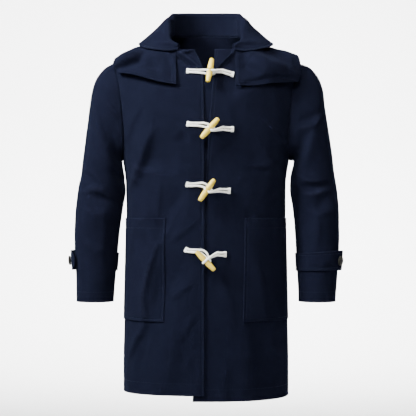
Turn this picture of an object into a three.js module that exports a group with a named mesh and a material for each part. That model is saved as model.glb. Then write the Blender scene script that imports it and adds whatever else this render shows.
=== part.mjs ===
// A navy duffle coat, filled out as it is when worn, with nobody in it. It is hollow, and open at the neck,
// hem and cuffs.
// Millimetres, +Z up, +X to the right as the coat's front is looked at, and the front faces -Y.
// The origin is the middle of the neck opening, level with the seam at the back of the neck.
import * as THREE from "three";

// Driving sizes
const CLOTH = 2; // thickness of the coat's cloth
const HOOD_CLOTH = 2.4; // the hood is lined with the same cloth, so its wall is a little thicker
const SEAM_GAP = 0.3; // clear space between two pieces at a seam
const SHOULDER_Z = -75; // height of the shoulder tip
const NECK_SIDE_X = 88; // half the width of the neck opening
const NECK_SIDE_Z = -14; // height of the shoulder seam at the neck
const ARMPIT_Z = -318;
const POCKET_TOP_Z = -463;
const POCKET_BOTTOM_Z = -711;
const HEM_Z = { right: -886, left: -900, back: -891 }; // the left front hangs lower, under the right front
const OVERLAP_LIFT = 4.6; // how far the right front stands off the left one's surface where it overlaps
const OVERLAP_WIDTH = 90;
const OVERLAP_TOP_Z = -180;
const ROUNDNESS = 2.3; // exponent of the body's ring: 2 is an ellipse, more is squarer

// The body's level rings: half width, and depth in front of and behind the side seams
const BODY_RINGS = [
  { z: -900, half: 205, front: 148, back: 138 },
  { z: -820, half: 205, front: 147, back: 135 },
  { z: -700, half: 203, front: 143, back: 128 },
  { z: -560, half: 200, front: 136, back: 118 },
  { z: -460, half: 198, front: 131, back: 112 },
  { z: -380, half: 199, front: 129, back: 110 },
  { z: -318, half: 207, front: 128, back: 113 },
  { z: -240, half: 222, front: 126, back: 112 },
  { z: -160, half: 228, front: 115, back: 105 },
  { z: -120, half: 230, front: 104, back: 99 },
  { z: -90, half: 231, front: 93, back: 94 },
  { z: -75, half: 228, front: 87, back: 91 },
  { z: -60, half: 192, front: 83, back: 88 },
  { z: -45, half: 155, front: 79, back: 85.5 },
  { z: -27, half: 112, front: 75, back: 82.5 },
  { z: -14, half: 88, front: 72, back: 80 },
  { z: 0, half: 68, front: 69, back: 78 },
  { z: 6, half: 60, front: 68, back: 77 },
];

// The front neckline from the middle to the shoulder seam
const NECKLINE = [
  { way: 0, x: 0, z: -53 },
  { way: 0.3, x: 30, z: -52.5 },
  { way: 0.55, x: 60, z: -50 },
  { way: 0.7, x: 76, z: -41 },
  { way: 0.82, x: 84, z: -29 },
  { way: 0.92, x: 87, z: -21 },
  { way: 1, x: 88, z: -14 },
];

// How far from the middle each armhole seam runs
const ARMHOLE = [
  { z: -318, front: 207, back: 207 },
  { z: -300, front: 203.5, back: 205 },
  { z: -270, front: 201, back: 205 },
  { z: -210, front: 205, back: 209 },
  { z: -141, front: 214, back: 216 },
  { z: -100, front: 223, back: 223 },
  { z: -75, front: 228, back: 228 },
];

// Front edges, measured from the middle towards each front's own side; below 0 it crosses the middle
const RIGHT_EDGE = [
  { z: -900, out: 4 },
  { z: -300, out: 4 },
  { z: -110, out: 7 },
  { z: -97, out: 8.5 },
  { z: -53, out: 27 },
];
const LEFT_EDGE = [
  { z: -900, out: -31 },
  { z: -368, out: 1 },
  { z: -283, out: 6 },
  { z: -143, out: 16 },
  { z: -112, out: 18 },
  { z: -97, out: 31 },
  { z: -60, out: 60 },
  { z: -49, out: 63 },
];
const UNDERLAP_EDGE = [
  { z: -900, out: -46 },
  { z: -368, out: -24 },
  { z: -150, out: -12 },
  { z: -118, out: 4 },
  { z: -84, out: 20 },
  { z: -49, out: 22 },
];

// The largest folds of the fronts, each a soft ridge (below 0, a trough) between two points of the front view
const FRONT_FOLDS = [
  { fromX: -132, fromZ: -245, toX: -190, toZ: -400, width: 24, height: 6 },
  { fromX: -62, fromZ: -330, toX: -168, toZ: -318, width: 30, height: -4 },
  { fromX: -58, fromZ: -395, toX: -110, toZ: -505, width: 22, height: -5 },
  { fromX: -120, fromZ: -520, toX: -158, toZ: -735, width: 24, height: 6 },
  { fromX: -160, fromZ: -745, toX: -190, toZ: -860, width: 24, height: 5 },
  { fromX: -52, fromZ: -565, toX: -112, toZ: -670, width: 26, height: -4 },
  { fromX: -70, fromZ: -700, toX: -104, toZ: -886, width: 30, height: 5 },
  { fromX: 140, fromZ: -300, toX: 186, toZ: -445, width: 24, height: 5 },
  { fromX: 60, fromZ: -190, toX: 150, toZ: -120, width: 30, height: 4 },
  { fromX: 118, fromZ: -700, toX: 182, toZ: -850, width: 28, height: -5 },
  { fromX: 92, fromZ: -740, toX: 104, toZ: -898, width: 34, height: 5 },
  { fromX: 172, fromZ: -700, toX: 196, toZ: -890, width: 26, height: 4 },
];
const BACK_FOLDS = [
  { fromX: -150, fromZ: -330, toX: -120, toZ: -520, width: 30, height: 5 },
  { fromX: 146, fromZ: -320, toX: 118, toZ: -500, width: 28, height: 5 },
  { fromX: -60, fromZ: -560, toX: -96, toZ: -891, width: 34, height: 7 },
  { fromX: 6, fromZ: -620, toX: -8, toZ: -891, width: 36, height: -5 },
  { fromX: 70, fromZ: -540, toX: 104, toZ: -891, width: 34, height: 7 },
  { fromX: -168, fromZ: -600, toX: -176, toZ: -891, width: 28, height: 5 },
  { fromX: 172, fromZ: -640, toX: 180, toZ: -891, width: 28, height: 5 },
];

// Columns of the body's grid, as turns from the middle (0) to the side seam (90), and the counts of rows
const COLUMN_TURNS = [0, 9, 17.5, 26, 34, 42, 50, 58, 66, 74, 82, 90];
const NECK_COLUMNS = 5; // columns that start on the neckline; the others start on the shoulder seam
const POCKET_COLUMNS = { first: 3, last: 10 };
const YOKE_ROWS = 10; // from the shoulder to the armpit
const WAIST_ROWS = 3; // from the armpit to the pocket's mouth
const POCKET_ROWS = 5;
const SKIRT_ROWS = 4; // from the pocket's bottom to the hem

// The sleeve's stations: its outer and inner lines in the front view, and its depth before and behind
const SLEEVE_STATIONS = [
  { way: 0, outX: 228, outZ: -75, inX: 207, inZ: -318, front: 52, back: 50, midY: 0 },
  { way: 1, outX: 252, outZ: -88, inX: 209.5, inZ: -321, front: 60, back: 58, midY: 0 },
  { way: 2, outX: 271, outZ: -112, inX: 209, inZ: -330, front: 65, back: 63, midY: 0 },
  { way: 3, outX: 283, outZ: -146, inX: 207, inZ: -344, front: 67, back: 66, midY: 0 },
  { way: 4, outX: 292, outZ: -192, inX: 205, inZ: -364, front: 67, back: 67, midY: -1 },
  { way: 5, outX: 303, outZ: -262, inX: 204, inZ: -391, front: 65, back: 66, midY: -3 },
  { way: 6, outX: 314, outZ: -340, inX: 208.5, inZ: -424, front: 62, back: 63, midY: -6 },
  { way: 7, outX: 323, outZ: -400, inX: 213.5, inZ: -460, front: 60, back: 60, midY: -10 },
  { way: 8, outX: 328, outZ: -462, inX: 218, inZ: -500, front: 58, back: 57, midY: -15 },
  { way: 9, outX: 328, outZ: -543, inX: 221.5, inZ: -550, front: 54, back: 53, midY: -22 },
  { way: 10, outX: 325, outZ: -590, inX: 224, inZ: -592, front: 51, back: 50, midY: -26 },
  { way: 11, outX: 320, outZ: -668, inX: 228, inZ: -668, front: 46, back: 46, midY: -32 },
];
// How much further out than that each sleeve hangs
const SLEEVE_SHIFT = [
  { way: 0, right: 0, left: 0 },
  { way: 1, right: 0, left: 9 },
  { way: 3, right: -0.5, left: 8 },
  { way: 4, right: -1.5, left: 6 },
  { way: 6, right: -3, left: 6 },
  { way: 8, right: -3, left: 3.5 },
  { way: 10, right: -2, left: 2 },
  { way: 11, right: 0, left: 0.5 },
];
const SLEEVE_RINGS = [0, 0.5, 1.2, 2, 3, 4, 5, 6, 7, 7.6, 8.3, 9, 9.5, 10, 11];
const STRAP_RINGS = { first: 11, last: 13 };
// Which way round each cuff strap runs, and how many of the sleeve's columns it and its button's place span
const STRAPS = {
  right: { by: "back", reach: 12, seat: 10 },
  left: { by: "front", reach: 10, seat: 8 },
};
const STRAP_LYING = 0.7; // how far past the seam gap a cuff strap lies off its sleeve
const STRAP_STANDING = 6; // how much further its free end stands off
// A fold of the sleeve: its turn is counted from the outer side by way of the front, its length in degrees,
// its width in stations, and its slope in stations a degree
const SLEEVE_FOLDS = [
  { way: 6.9, turn: 70, slope: 0.012, length: 55, width: 0.45, height: -5 },
  { way: 7.6, turn: 95, slope: -0.01, length: 60, width: 0.4, height: 4 },
  { way: 3.6, turn: 60, slope: 0.02, length: 50, width: 0.7, height: 4 },
  { way: 7.2, turn: 262, slope: 0.01, length: 55, width: 0.5, height: -5 },
  { way: 4.6, turn: 285, slope: -0.012, length: 60, width: 0.7, height: 4 },
];

// The hood's turned-over rim, by the turn round the neck from the front: its fold line and its outer edge
const RIM_SECTIONS = [
  { turn: 41, foldOut: 3, foldZ: -38, edgeR: 104, edgeZ: -52 },
  { turn: 49, foldOut: 4, foldZ: -31, edgeR: 122, edgeZ: -55 },
  { turn: 58, foldOut: 5, foldZ: -22, edgeR: 142, edgeZ: -52 },
  { turn: 68, foldOut: 6, foldZ: -5, edgeR: 158, edgeZ: -45 },
  { turn: 79, foldOut: 8, foldZ: 17, edgeR: 168, edgeZ: -35 },
  { turn: 90, foldOut: 9, foldZ: 37, edgeR: 166, edgeZ: -27 },
  { turn: 102, foldOut: 10, foldZ: 49, edgeR: 152, edgeZ: -26 },
  { turn: 125, foldOut: 9, foldZ: 55, edgeR: 131, edgeZ: -32 },
  { turn: 155, foldOut: 8, foldZ: 59.5, edgeR: 120, edgeZ: -42 },
  { turn: 180, foldOut: 8, foldZ: 60.5, edgeR: 118, edgeZ: -46 },
];
// The outer edge of the hood's body, from its front edge (0) over the shoulder to the middle of the back (1)
const HOOD_EDGE = [
  { way: 0, x: 72, y: -118, z: -139, leftZ: -142 },
  { way: 0.12, x: 114, y: -112, z: -131, leftZ: -141 },
  { way: 0.24, x: 158, y: -98, z: -119, leftZ: -135 },
  { way: 0.36, x: 201, y: -78, z: -106, leftZ: -130 },
  { way: 0.42, x: 225, y: -62, z: -101, leftZ: -126 },
  { way: 0.52, x: 214, y: -22, z: -66, leftZ: -70 },
  { way: 0.62, x: 206, y: 28, z: -62, leftZ: -62 },
  { way: 0.72, x: 186, y: 84, z: -100, leftZ: -100 },
  { way: 0.82, x: 150, y: 122, z: -168, leftZ: -168 },
  { way: 0.92, x: 84, y: 138, z: -236, leftZ: -236 },
  { way: 1, x: 0, y: 142, z: -262, leftZ: -262 },
];
// The same ways: the turn round the neck that each starts near, how far outside and below the neck seam it
// starts, and how much of the pouch's turn it has
const HOOD_SECTIONS = [
  { way: 0, neck: 41, out: 8, drop: 24, hook: 0 },
  { way: 0.12, neck: 46, out: 14, drop: 24, hook: 0 },
  { way: 0.24, neck: 52, out: 22, drop: 22, hook: 0 },
  { way: 0.36, neck: 59, out: 26, drop: 20, hook: 0 },
  { way: 0.42, neck: 64, out: 26, drop: 18, hook: 0 },
  { way: 0.52, neck: 78, out: 20, drop: 12, hook: 0 },
  { way: 0.62, neck: 95, out: 14, drop: 6, hook: 0 },
  { way: 0.72, neck: 118, out: 10, drop: 4, hook: 0.25 },
  { way: 0.82, neck: 140, out: 7, drop: 3, hook: 0.7 },
  { way: 0.92, neck: 160, out: 7, drop: 3, hook: 1 },
  { way: 1, neck: 180, out: 7, drop: 3, hook: 1 },
];
// The same ways: how far the hood stands off the coat, two thirds out (loft) and at its edge (lift)
const HOOD_STAND = [
  { way: 0, leftLoft: 1, rightLoft: 1, leftLift: 12, rightLift: 12 },
  { way: 0.12, leftLoft: 1, rightLoft: 1, leftLift: 13, rightLift: 13 },
  { way: 0.24, leftLoft: 1, rightLoft: 1, leftLift: 15, rightLift: 15 },
  { way: 0.36, leftLoft: 2, rightLoft: 3, leftLift: 19, rightLift: 19 },
  { way: 0.42, leftLoft: 2, rightLoft: 6, leftLift: 24, rightLift: 20 },
  { way: 0.52, leftLoft: 2, rightLoft: 12, leftLift: 18, rightLift: 9 },
  { way: 0.62, leftLoft: 4, rightLoft: 12, leftLift: 16, rightLift: 11 },
  { way: 0.72, leftLoft: 9, rightLoft: 10, leftLift: 20, rightLift: 19 },
  { way: 0.82, leftLoft: 15, rightLoft: 15, leftLift: 28, rightLift: 28 },
  { way: 0.92, leftLoft: 20, rightLoft: 20, leftLift: 36, rightLift: 36 },
  { way: 1, leftLoft: 22, rightLoft: 22, leftLift: 40, rightLift: 40 },
];
const HOOD_SEAM = 0.84; // where the hood's side panels meet its middle panel
const HOOD_HOOK_RADIUS = 13; // the pouch turns under and back up against the coat
const HOOD_HOOK_RISE = 40;
const HOOD_START_LIFT = 5; // how far the hood's body stands off the coat where it starts
const HOOD_CLEARANCE = { front: 4.5, back: 11 }; // the least that it stands off anywhere
const CHEST_MIDDLE = new THREE.Vector3(0, 0, -200); // the hood lies out from here, over the shoulders

// Toggles: the waist's place in the front view, its lean from upright, and where the two cords are sewn down
const TOGGLES = [
  { x: 9.5, z: -113, lean: 9, loopX: -47, loopZ: -107, stemX: 66, stemZ: -115 },
  { x: 9, z: -248.5, lean: 41, loopX: -46, loopZ: -236, stemX: 65, stemZ: -249 },
  { x: 2.5, z: -396, lean: 35, loopX: -47, loopZ: -381.5, stemX: 57, stemZ: -397 },
  { x: -1, z: -565, lean: -44, loopX: -50, loopZ: -537.5, stemX: 47, stemZ: -549 },
];
const TOGGLE_LENGTH = 63;
// The toggle's radius at each share of its half length, from the waist
const TOGGLE_PROFILE = [
  { share: 0, radius: 5.4 },
  { share: 0.07, radius: 5.8 },
  { share: 0.16, radius: 8.1 },
  { share: 0.4, radius: 8.2 },
  { share: 0.72, radius: 6.6 },
  { share: 0.95, radius: 4.9 },
  { share: 1, radius: 3.6 },
];
const TOGGLE_STAND = 20; // from the front's surface to the toggle's middle
const CORD_RADIUS = 2.7;
const LOOP_PITCH = 9.5; // between the middles of a loop's two strands
const STEM_PITCH = { sewn: 9, near: 6 }; // the same for a toggle's own cord, sewn end and toggle end
const BUTTON_RADIUS = 12;
const BUTTON_HEIGHT = 4;
const BUTTON_SHANK = 1.7;

const radians = THREE.MathUtils.degToRad;
const mix = THREE.MathUtils.lerp;
const clamp = THREE.MathUtils.clamp;
const vec = (x, y, z) => new THREE.Vector3(x, y, z);

// A smooth curve through one column of a table, which never overshoots its rows.
function column(table, along, value) {
  const rows = [...table].sort((a, b) => a[along] - b[along]);
  const at = rows.map((row) => row[along]);
  const height = rows.map((row) => row[value]);
  const slope = at.slice(1).map((x, i) => (height[i + 1] - height[i]) / (x - at[i]));
  const tangent = at.map((_, i) => {
    if (i === 0) return slope[0];
    if (i === slope.length) return slope[i - 1];
    const product = slope[i - 1] * slope[i];
    return product <= 0 ? 0 : (2 * product) / (slope[i - 1] + slope[i]);
  });
  return (x) => {
    const inside = clamp(x, at[0], at[at.length - 1]);
    let i = 0;
    while (i < slope.length - 1 && inside > at[i + 1]) i += 1;
    const step = at[i + 1] - at[i];
    const t = (inside - at[i]) / step;
    const rise = 3 * t * t - 2 * t * t * t;
    const bend = t * (1 - t) * (1 - t) * tangent[i] - t * t * (1 - t) * tangent[i + 1];
    return mix(height[i], height[i + 1], rise) + step * bend;
  };
}

// Every column of a table as such a curve
function columns(table, along) {
  const names = Object.keys(table[0]).filter((name) => name !== along);
  return Object.fromEntries(names.map((name) => [name, column(table, along, name)]));
}

const half = column(BODY_RINGS, "z", "half");
const depth = { front: column(BODY_RINGS, "z", "front"), back: column(BODY_RINGS, "z", "back") };
const armhole = { front: column(ARMHOLE, "z", "front"), back: column(ARMHOLE, "z", "back") };
const neckX = column(NECKLINE, "way", "x");
const neckZ = column(NECKLINE, "way", "z");
const edge = { right: column(RIGHT_EDGE, "z", "out"), left: column(LEFT_EDGE, "z", "out") };
const underlapEdge = column(UNDERLAP_EDGE, "z", "out");

// A fold's height at a point of the front or back view
function foldHeight(folds, x, z) {
  let sum = 0;
  for (const fold of folds) {
    const alongX = fold.toX - fold.fromX;
    const alongZ = fold.toZ - fold.fromZ;
    const length = Math.hypot(alongX, alongZ);
    const way = ((x - fold.fromX) * alongX + (z - fold.fromZ) * alongZ) / length / length;
    const aside = ((x - fold.fromX) * alongZ - (z - fold.fromZ) * alongX) / length;
    const past = Math.max(0, -way, way - 1) * length;
    const inside = clamp(Math.min(way, 1 - way) * 3 + 0.25, 0, 1);
    sum += fold.height * inside * Math.exp(-((aside / fold.width) ** 2) - (past / fold.width) ** 2);
  }
  return sum;
}

// A point of the body's surface in the front or back view, and the way out of the cloth there
function bodySurface(face, x, z, lift = 0) {
  const sign = face === "front" ? -1 : 1;
  const ring = (height) => ({ a: half(height), b: depth[face](height) });
  const { a, b } = ring(z);
  const share = clamp(Math.abs(x) / a, 0, 1);
  const y = b * (1 - share ** ROUNDNESS) ** (1 / ROUNDNESS);
  const above = ring(z + 0.5);
  const below = ring(z - 0.5);
  const outX = (share ** (ROUNDNESS - 1) / a) * Math.sign(x);
  const outY = (sign * (y / b) ** (ROUNDNESS - 1)) / b;
  const narrowing = (share ** ROUNDNESS * (above.a - below.a)) / a;
  const outZ = -narrowing - ((y / b) ** ROUNDNESS * (above.b - below.b)) / b;
  const out = vec(outX, outY, outZ).normalize();
  const folds = face === "front" ? FRONT_FOLDS : BACK_FOLDS;
  const fold = foldHeight(folds, x, z) * clamp((1 - share) * 4, 0.15, 1);
  const point = vec(x, sign * (y + SEAM_GAP / 2), z).addScaledVector(out, fold + lift);
  return { point, out };
}

// A closed wall between two grids of points; a round one joins its last column to its first.
function wall(outer, inner, round = false) {
  const rows = outer.length;
  const columns = outer[0].length;
  const points = [...outer.flat(), ...inner.flat()];
  const index = (layer, r, c) => layer * rows * columns + r * columns + (c % columns);
  const faces = [];
  const quad = (a, b, c, d) => faces.push(a, b, c, a, c, d);
  const spans = round ? columns : columns - 1;
  for (let r = 0; r < rows - 1; r += 1) {
    for (let c = 0; c < spans; c += 1) {
      quad(index(0, r, c), index(0, r + 1, c), index(0, r + 1, c + 1), index(0, r, c + 1));
      quad(index(1, r, c), index(1, r, c + 1), index(1, r + 1, c + 1), index(1, r + 1, c));
    }
  }
  for (let c = 0; c < spans; c += 1) {
    quad(index(0, 0, c), index(0, 0, c + 1), index(1, 0, c + 1), index(1, 0, c));
    quad(index(0, rows - 1, c + 1), index(0, rows - 1, c), index(1, rows - 1, c), index(1, rows - 1, c + 1));
  }
  if (!round) {
    for (let r = 0; r < rows - 1; r += 1) {
      quad(index(0, r + 1, 0), index(0, r, 0), index(1, r, 0), index(1, r + 1, 0));
      const last = columns - 1;
      quad(index(0, r, last), index(0, r + 1, last), index(1, r + 1, last), index(1, r, last));
    }
  }
  return solid(points, faces);
}

// A geometry from points and faces, turned so that its faces look out.
function solid(points, faces) {
  let volume = 0;
  for (let i = 0; i < faces.length; i += 3) {
    const [a, b, c] = [points[faces[i]], points[faces[i + 1]], points[faces[i + 2]]];
    volume += a.dot(b.clone().cross(c));
  }
  if (volume < 0) faces.reverse();
  const geometry = new THREE.BufferGeometry();
  geometry.setAttribute("position", new THREE.Float32BufferAttribute(points.flatMap((p) => p.toArray()), 3));
  geometry.setIndex(faces);
  geometry.computeVertexNormals();
  return geometry;
}

// The way out of a grid at each point, on the side that the sign picks
function gridNormals(grid, round, sign) {
  const columns = grid[0].length;
  const pick = (row, c) => row[round ? (c + columns) % columns : clamp(c, 0, columns - 1)];
  return grid.map((row, r) =>
    row.map((_, c) => {
      const down = grid[Math.min(r + 1, grid.length - 1)][c].clone().sub(grid[Math.max(r - 1, 0)][c]);
      const across = pick(row, c + 1).clone().sub(pick(row, c - 1));
      return down.cross(across).normalize().multiplyScalar(sign);
    }),
  );
}

// A grid moved along its own normals
function moved(grid, normals, by) {
  return grid.map((row, r) => row.map((p, c) => p.clone().addScaledVector(normals[r][c], by)));
}

const MATERIALS = {
  cloth: { color: 0x1c2338, roughness: 0.9, metalness: 0 },
  cord: { color: 0xe9e8e2, roughness: 0.85, metalness: 0 },
  wood: { color: 0xdcc488, roughness: 0.5, metalness: 0 },
  horn: { color: 0x1b1917, roughness: 0.35, metalness: 0 },
};
const coat = new THREE.Group();
coat.name = "duffle_coat";

// One named piece of the coat
function add(name, geometry, kind) {
  const mesh = new THREE.Mesh(geometry, new THREE.MeshStandardMaterial(MATERIALS[kind]));
  mesh.name = name;
  coat.add(mesh);
  return mesh;
}

// Rows of the body between the armpit and a hem
function skirtHeights(hem) {
  const bands = [
    [ARMPIT_Z, POCKET_TOP_Z, WAIST_ROWS],
    [POCKET_TOP_Z, POCKET_BOTTOM_Z, POCKET_ROWS],
    [POCKET_BOTTOM_Z, hem, SKIRT_ROWS],
  ];
  return bands.flatMap(([from, to, count]) =>
    Array.from({ length: count }, (_, i) => mix(from, to, (i + 1) / count)),
  );
}

// Rows above the armpit stand closer together at the shoulder and at the armpit.
function yokeShare(row) {
  const even = row / YOKE_ROWS;
  return mix(even, (1 - Math.cos(Math.PI * even)) / 2, 0.5);
}

const columnShare = (turn) => Math.sin(radians(turn)) ** (2 / ROUNDNESS);

// Half a panel in the view of its face: how far out and how high each of its grid points is.
function halfPanel(face, edgeAt, topWay, hem) {
  const last = COLUMN_TURNS.length - 1;
  const top = COLUMN_TURNS.map((_, i) => {
    if (i <= NECK_COLUMNS) return topWay(i / NECK_COLUMNS);
    const share = (i - NECK_COLUMNS) / (last - NECK_COLUMNS);
    const z = mix(NECK_SIDE_Z, SHOULDER_Z, share);
    return { x: half(z), z };
  });
  const across = (z) => COLUMN_TURNS.map((turn) => mix(edgeAt(z), half(z), columnShare(turn)));
  const chest = across(ARMPIT_Z);
  const rows = Array.from({ length: YOKE_ROWS + 1 }, (_, j) => {
    const share = yokeShare(j);
    const seamZ = mix(SHOULDER_Z, ARMPIT_Z, share);
    const edgeZ = mix(top[0].z, ARMPIT_Z, share);
    const seamShift = armhole[face](seamZ) - mix(top[last].x, chest[last], share);
    const edgeShift = edgeAt(edgeZ) - mix(top[0].x, chest[0], share);
    return top.map((start, i) => {
      const outward = i / last;
      const x = mix(start.x, chest[i], share) + seamShift * outward ** 3 + edgeShift * (1 - outward) ** 3;
      return { x, z: mix(start.z, ARMPIT_Z, share) };
    });
  });
  const skirt = skirtHeights(hem).map((z) => across(z).map((x) => ({ x, z })));
  return [...rows, ...skirt];
}

// The share of the way along the front neckline at which it is this far from the middle
function neckWayAt(x) {
  let low = 0;
  let high = 0.9;
  for (let i = 0; i < 40; i += 1) {
    const middle = (low + high) / 2;
    if (neckX(middle) < x) low = middle;
    else high = middle;
  }
  return low;
}

// The right front stands up near the middle and lower down, where it lies over the left one.
function frontLift(side, x, z) {
  if (side === "left") return 0;
  const across = clamp((x + OVERLAP_WIDTH) / 50, 0, 1);
  const down = clamp((OVERLAP_TOP_Z - z) / 150, 0, 1);
  return OVERLAP_LIFT * across * down;
}

// A point on the outer face of one front, some way out from it
function onFront(side, x, z, lift = 0) {
  return bodySurface("front", x, z, frontLift(side, x, z) + lift);
}

const OUTWARD = { right: -1, left: 1 };

// Rows of surface points as a grid of points and a grid of the ways out of the cloth
function bothOf(rows) {
  return { outer: rows.map((row) => row.map((s) => s.point)), out: rows.map((row) => row.map((s) => s.out)) };
}

// A front's outer points and the way out of the cloth at each
function frontPanel(side) {
  const sign = OUTWARD[side];
  const start = neckWayAt(edge[side](-53));
  const topWay = (share) => {
    const way = mix(start, 1, share);
    return { x: neckX(way), z: neckZ(way) };
  };
  const plan = halfPanel("front", edge[side], topWay, HEM_Z[side]);
  const rows = plan.map((row) => row.map(({ x, z }) => onFront(side, sign * x, z)));
  return bothOf(rows);
}

const fronts = { right: frontPanel("right"), left: frontPanel("left") };
for (const side of ["right", "left"]) {
  const { outer, out } = fronts[side];
  add(`front_${side}`, wall(outer, moved(outer, out, -CLOTH)), "cloth");
}

// The back's outer points, from the right side seam to the left
function backPanel() {
  const topWay = (share) => {
    const x = NECK_SIDE_X * Math.sin((Math.PI / 2) * share);
    return { x, z: NECK_SIDE_Z * (1 - Math.cos((Math.PI / 2) * share)) };
  };
  const plan = halfPanel("back", () => 0, topWay, HEM_Z.back);
  const rows = plan.map((row) => {
    const right = row.slice(1).reverse().map(({ x, z }) => bodySurface("back", -x, z));
    return [...right, ...row.map(({ x, z }) => bodySurface("back", x, z))];
  });
  return bothOf(rows);
}

const back = backPanel();
add("back", wall(back.outer, moved(back.outer, back.out, -CLOTH)), "cloth");

// The underlap is sewn behind the left front's edge and lies under both fronts.
function underlap() {
  const inside = CLOTH + 1.2;
  const rows = 30;
  const tuck = 14;
  const bottom = HEM_Z.left + 14;
  const grid = Array.from({ length: rows + 1 }, (_, j) => {
    const z = mix(-49.5, bottom, j / rows);
    const from = underlapEdge(z);
    const to = Math.max(edge.left(z), from) + tuck;
    return [0, 0.5, 1].map((share) => bodySurface("front", mix(from, to, share), z, -inside));
  });
  const outer = grid.map((row) => row.map((s) => s.point));
  const inner = grid.map((row) => row.map((s) => s.point.clone().addScaledVector(s.out, -1.6)));
  return wall(outer, inner);
}
add("front_underlap", underlap(), "cloth");

// A patch pocket is made from its front's own grid points, moved out.
for (const side of ["right", "left"]) {
  const { outer, out } = fronts[side];
  const first = YOKE_ROWS + WAIST_ROWS;
  const under = (grid) => {
    const rows = grid.slice(first, first + POCKET_ROWS + 1);
    return rows.map((row) => row.slice(POCKET_COLUMNS.first, POCKET_COLUMNS.last + 1));
  };
  const base = under(outer);
  const normals = under(out);
  const inner = moved(base, normals, SEAM_GAP);
  add(`pocket_${side}`, wall(moved(inner, normals, CLOTH), inner), "cloth");
}

const station = columns(SLEEVE_STATIONS, "way");
const sleeveShift = columns(SLEEVE_SHIFT, "way");

// A sleeve's grid. Its first ring is the armhole, and the next ones ease into ovals round the arm.
function sleeveGrid(side) {
  const sign = OUTWARD[side];
  const last = COLUMN_TURNS.length - 1;
  const seam = (face, row) => {
    const z = mix(SHOULDER_Z, ARMPIT_Z, yokeShare(row));
    return bodySurface(face, armhole[face](z), z);
  };
  const loop = [];
  for (let j = 0; j <= YOKE_ROWS; j += 1) loop.push(seam("front", j));
  for (let j = YOKE_ROWS - 1; j > 0; j -= 1) loop.push(seam("back", j));
  const count = loop.length;
  const frame = (way) => {
    const shift = sleeveShift[side](way);
    const outer = vec(station.outX(way) + shift, station.midY(way), station.outZ(way));
    const inner = vec(station.inX(way) + shift, station.midY(way), station.inZ(way));
    const middle = outer.clone().add(inner).multiplyScalar(0.5);
    const reach = outer.clone().sub(middle);
    const along = vec(reach.z, 0, -reach.x).normalize();
    return { middle, reach, along };
  };
  const start = frame(0);
  const shape = loop.map(({ point }, i) => {
    const from = point.clone().sub(start.middle);
    const deep = from.y < 0 ? station.front(0) : station.back(0);
    const even = (360 * i) / count;
    const seamTurn = i <= YOKE_ROWS ? i : count - i;
    const share = yokeShare(seamTurn);
    const turn = (180 / Math.PI) * Math.acos(1 - 2 * share);
    return {
      reach: from.dot(start.reach) / start.reach.lengthSq(),
      deep: -from.y / deep,
      along: from.dot(start.along),
      turn: i <= YOKE_ROWS ? turn : 360 - turn,
      even,
    };
  });
  const rings = SLEEVE_RINGS.map((way) => {
    const { middle, reach, along } = frame(way);
    const ease = clamp(way / 3, 0, 1);
    const settled = ease * ease * (3 - 2 * ease);
    return shape.map((own) => {
      const turn = radians(mix(own.turn, own.even, settled));
      const oval = { reach: Math.cos(turn), deep: Math.sin(turn) };
      const alongReach = mix(own.reach, oval.reach, settled);
      const sideways = mix(own.deep, oval.deep, settled);
      const deep = sideways > 0 ? station.front(way) : station.back(way);
      const point = middle.clone().addScaledVector(reach, alongReach);
      point.y -= sideways * deep;
      point.addScaledVector(along, own.along * (1 - settled));
      return { point, turn: (180 / Math.PI) * turn, way };
    });
  });
  const grid = rings.map((ring) => ring.map((own) => own.point));
  const normals = gridNormals(grid, true, -1);
  const mitres = loop.map(({ out }, i) => {
    const seamWay = loop[(i + 1) % count].point.clone().sub(loop[(i - 1 + count) % count].point).normalize();
    const past = out.clone().cross(seamWay).normalize();
    const fold = Math.atan2(-normals[0][i].dot(past), normals[0][i].dot(out));
    const bend = (fold < -Math.PI / 2 ? fold + 2 * Math.PI : fold) / 2;
    const away = past.clone().multiplyScalar(Math.cos(bend)).addScaledVector(out, Math.sin(bend));
    return { away, out: out.clone().multiplyScalar(Math.cos(bend)).addScaledVector(past, -Math.sin(bend)) };
  });
  rings[0].forEach((own, i) => own.point.addScaledVector(mitres[i].away, SEAM_GAP + 0.1));
  const ridged = rings.map((ring, r) =>
    ring.map((own, c) => own.point.clone().addScaledVector(normals[r][c], sleeveFold(own.way, own.turn))),
  );
  const flip = (p) => vec(sign * p.x, p.y, p.z);
  const turned = ridged.map((ring) => ring.map(flip));
  const out = gridNormals(turned, true, -sign);
  out[0] = mitres.map((own) => flip(own.out));
  return { grid: turned, out };
}

// The height of the sleeve's folds at a point of it
function sleeveFold(way, turn) {
  let sum = 0;
  for (const fold of SLEEVE_FOLDS) {
    const away = ((turn - fold.turn + 540) % 360) - 180;
    const along = way - fold.way - fold.slope * away;
    sum += fold.height * Math.exp(-((away / fold.length) ** 2) - (along / fold.width) ** 2);
  }
  return sum * clamp(way - 1, 0, 1);
}

const sleeves = {};
for (const side of ["right", "left"]) {
  const { grid, out } = sleeveGrid(side);
  sleeves[side] = { grid, out };
  add(`sleeve_${side}`, wall(grid, moved(grid, out, -CLOTH), true), "cloth");
}

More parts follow.
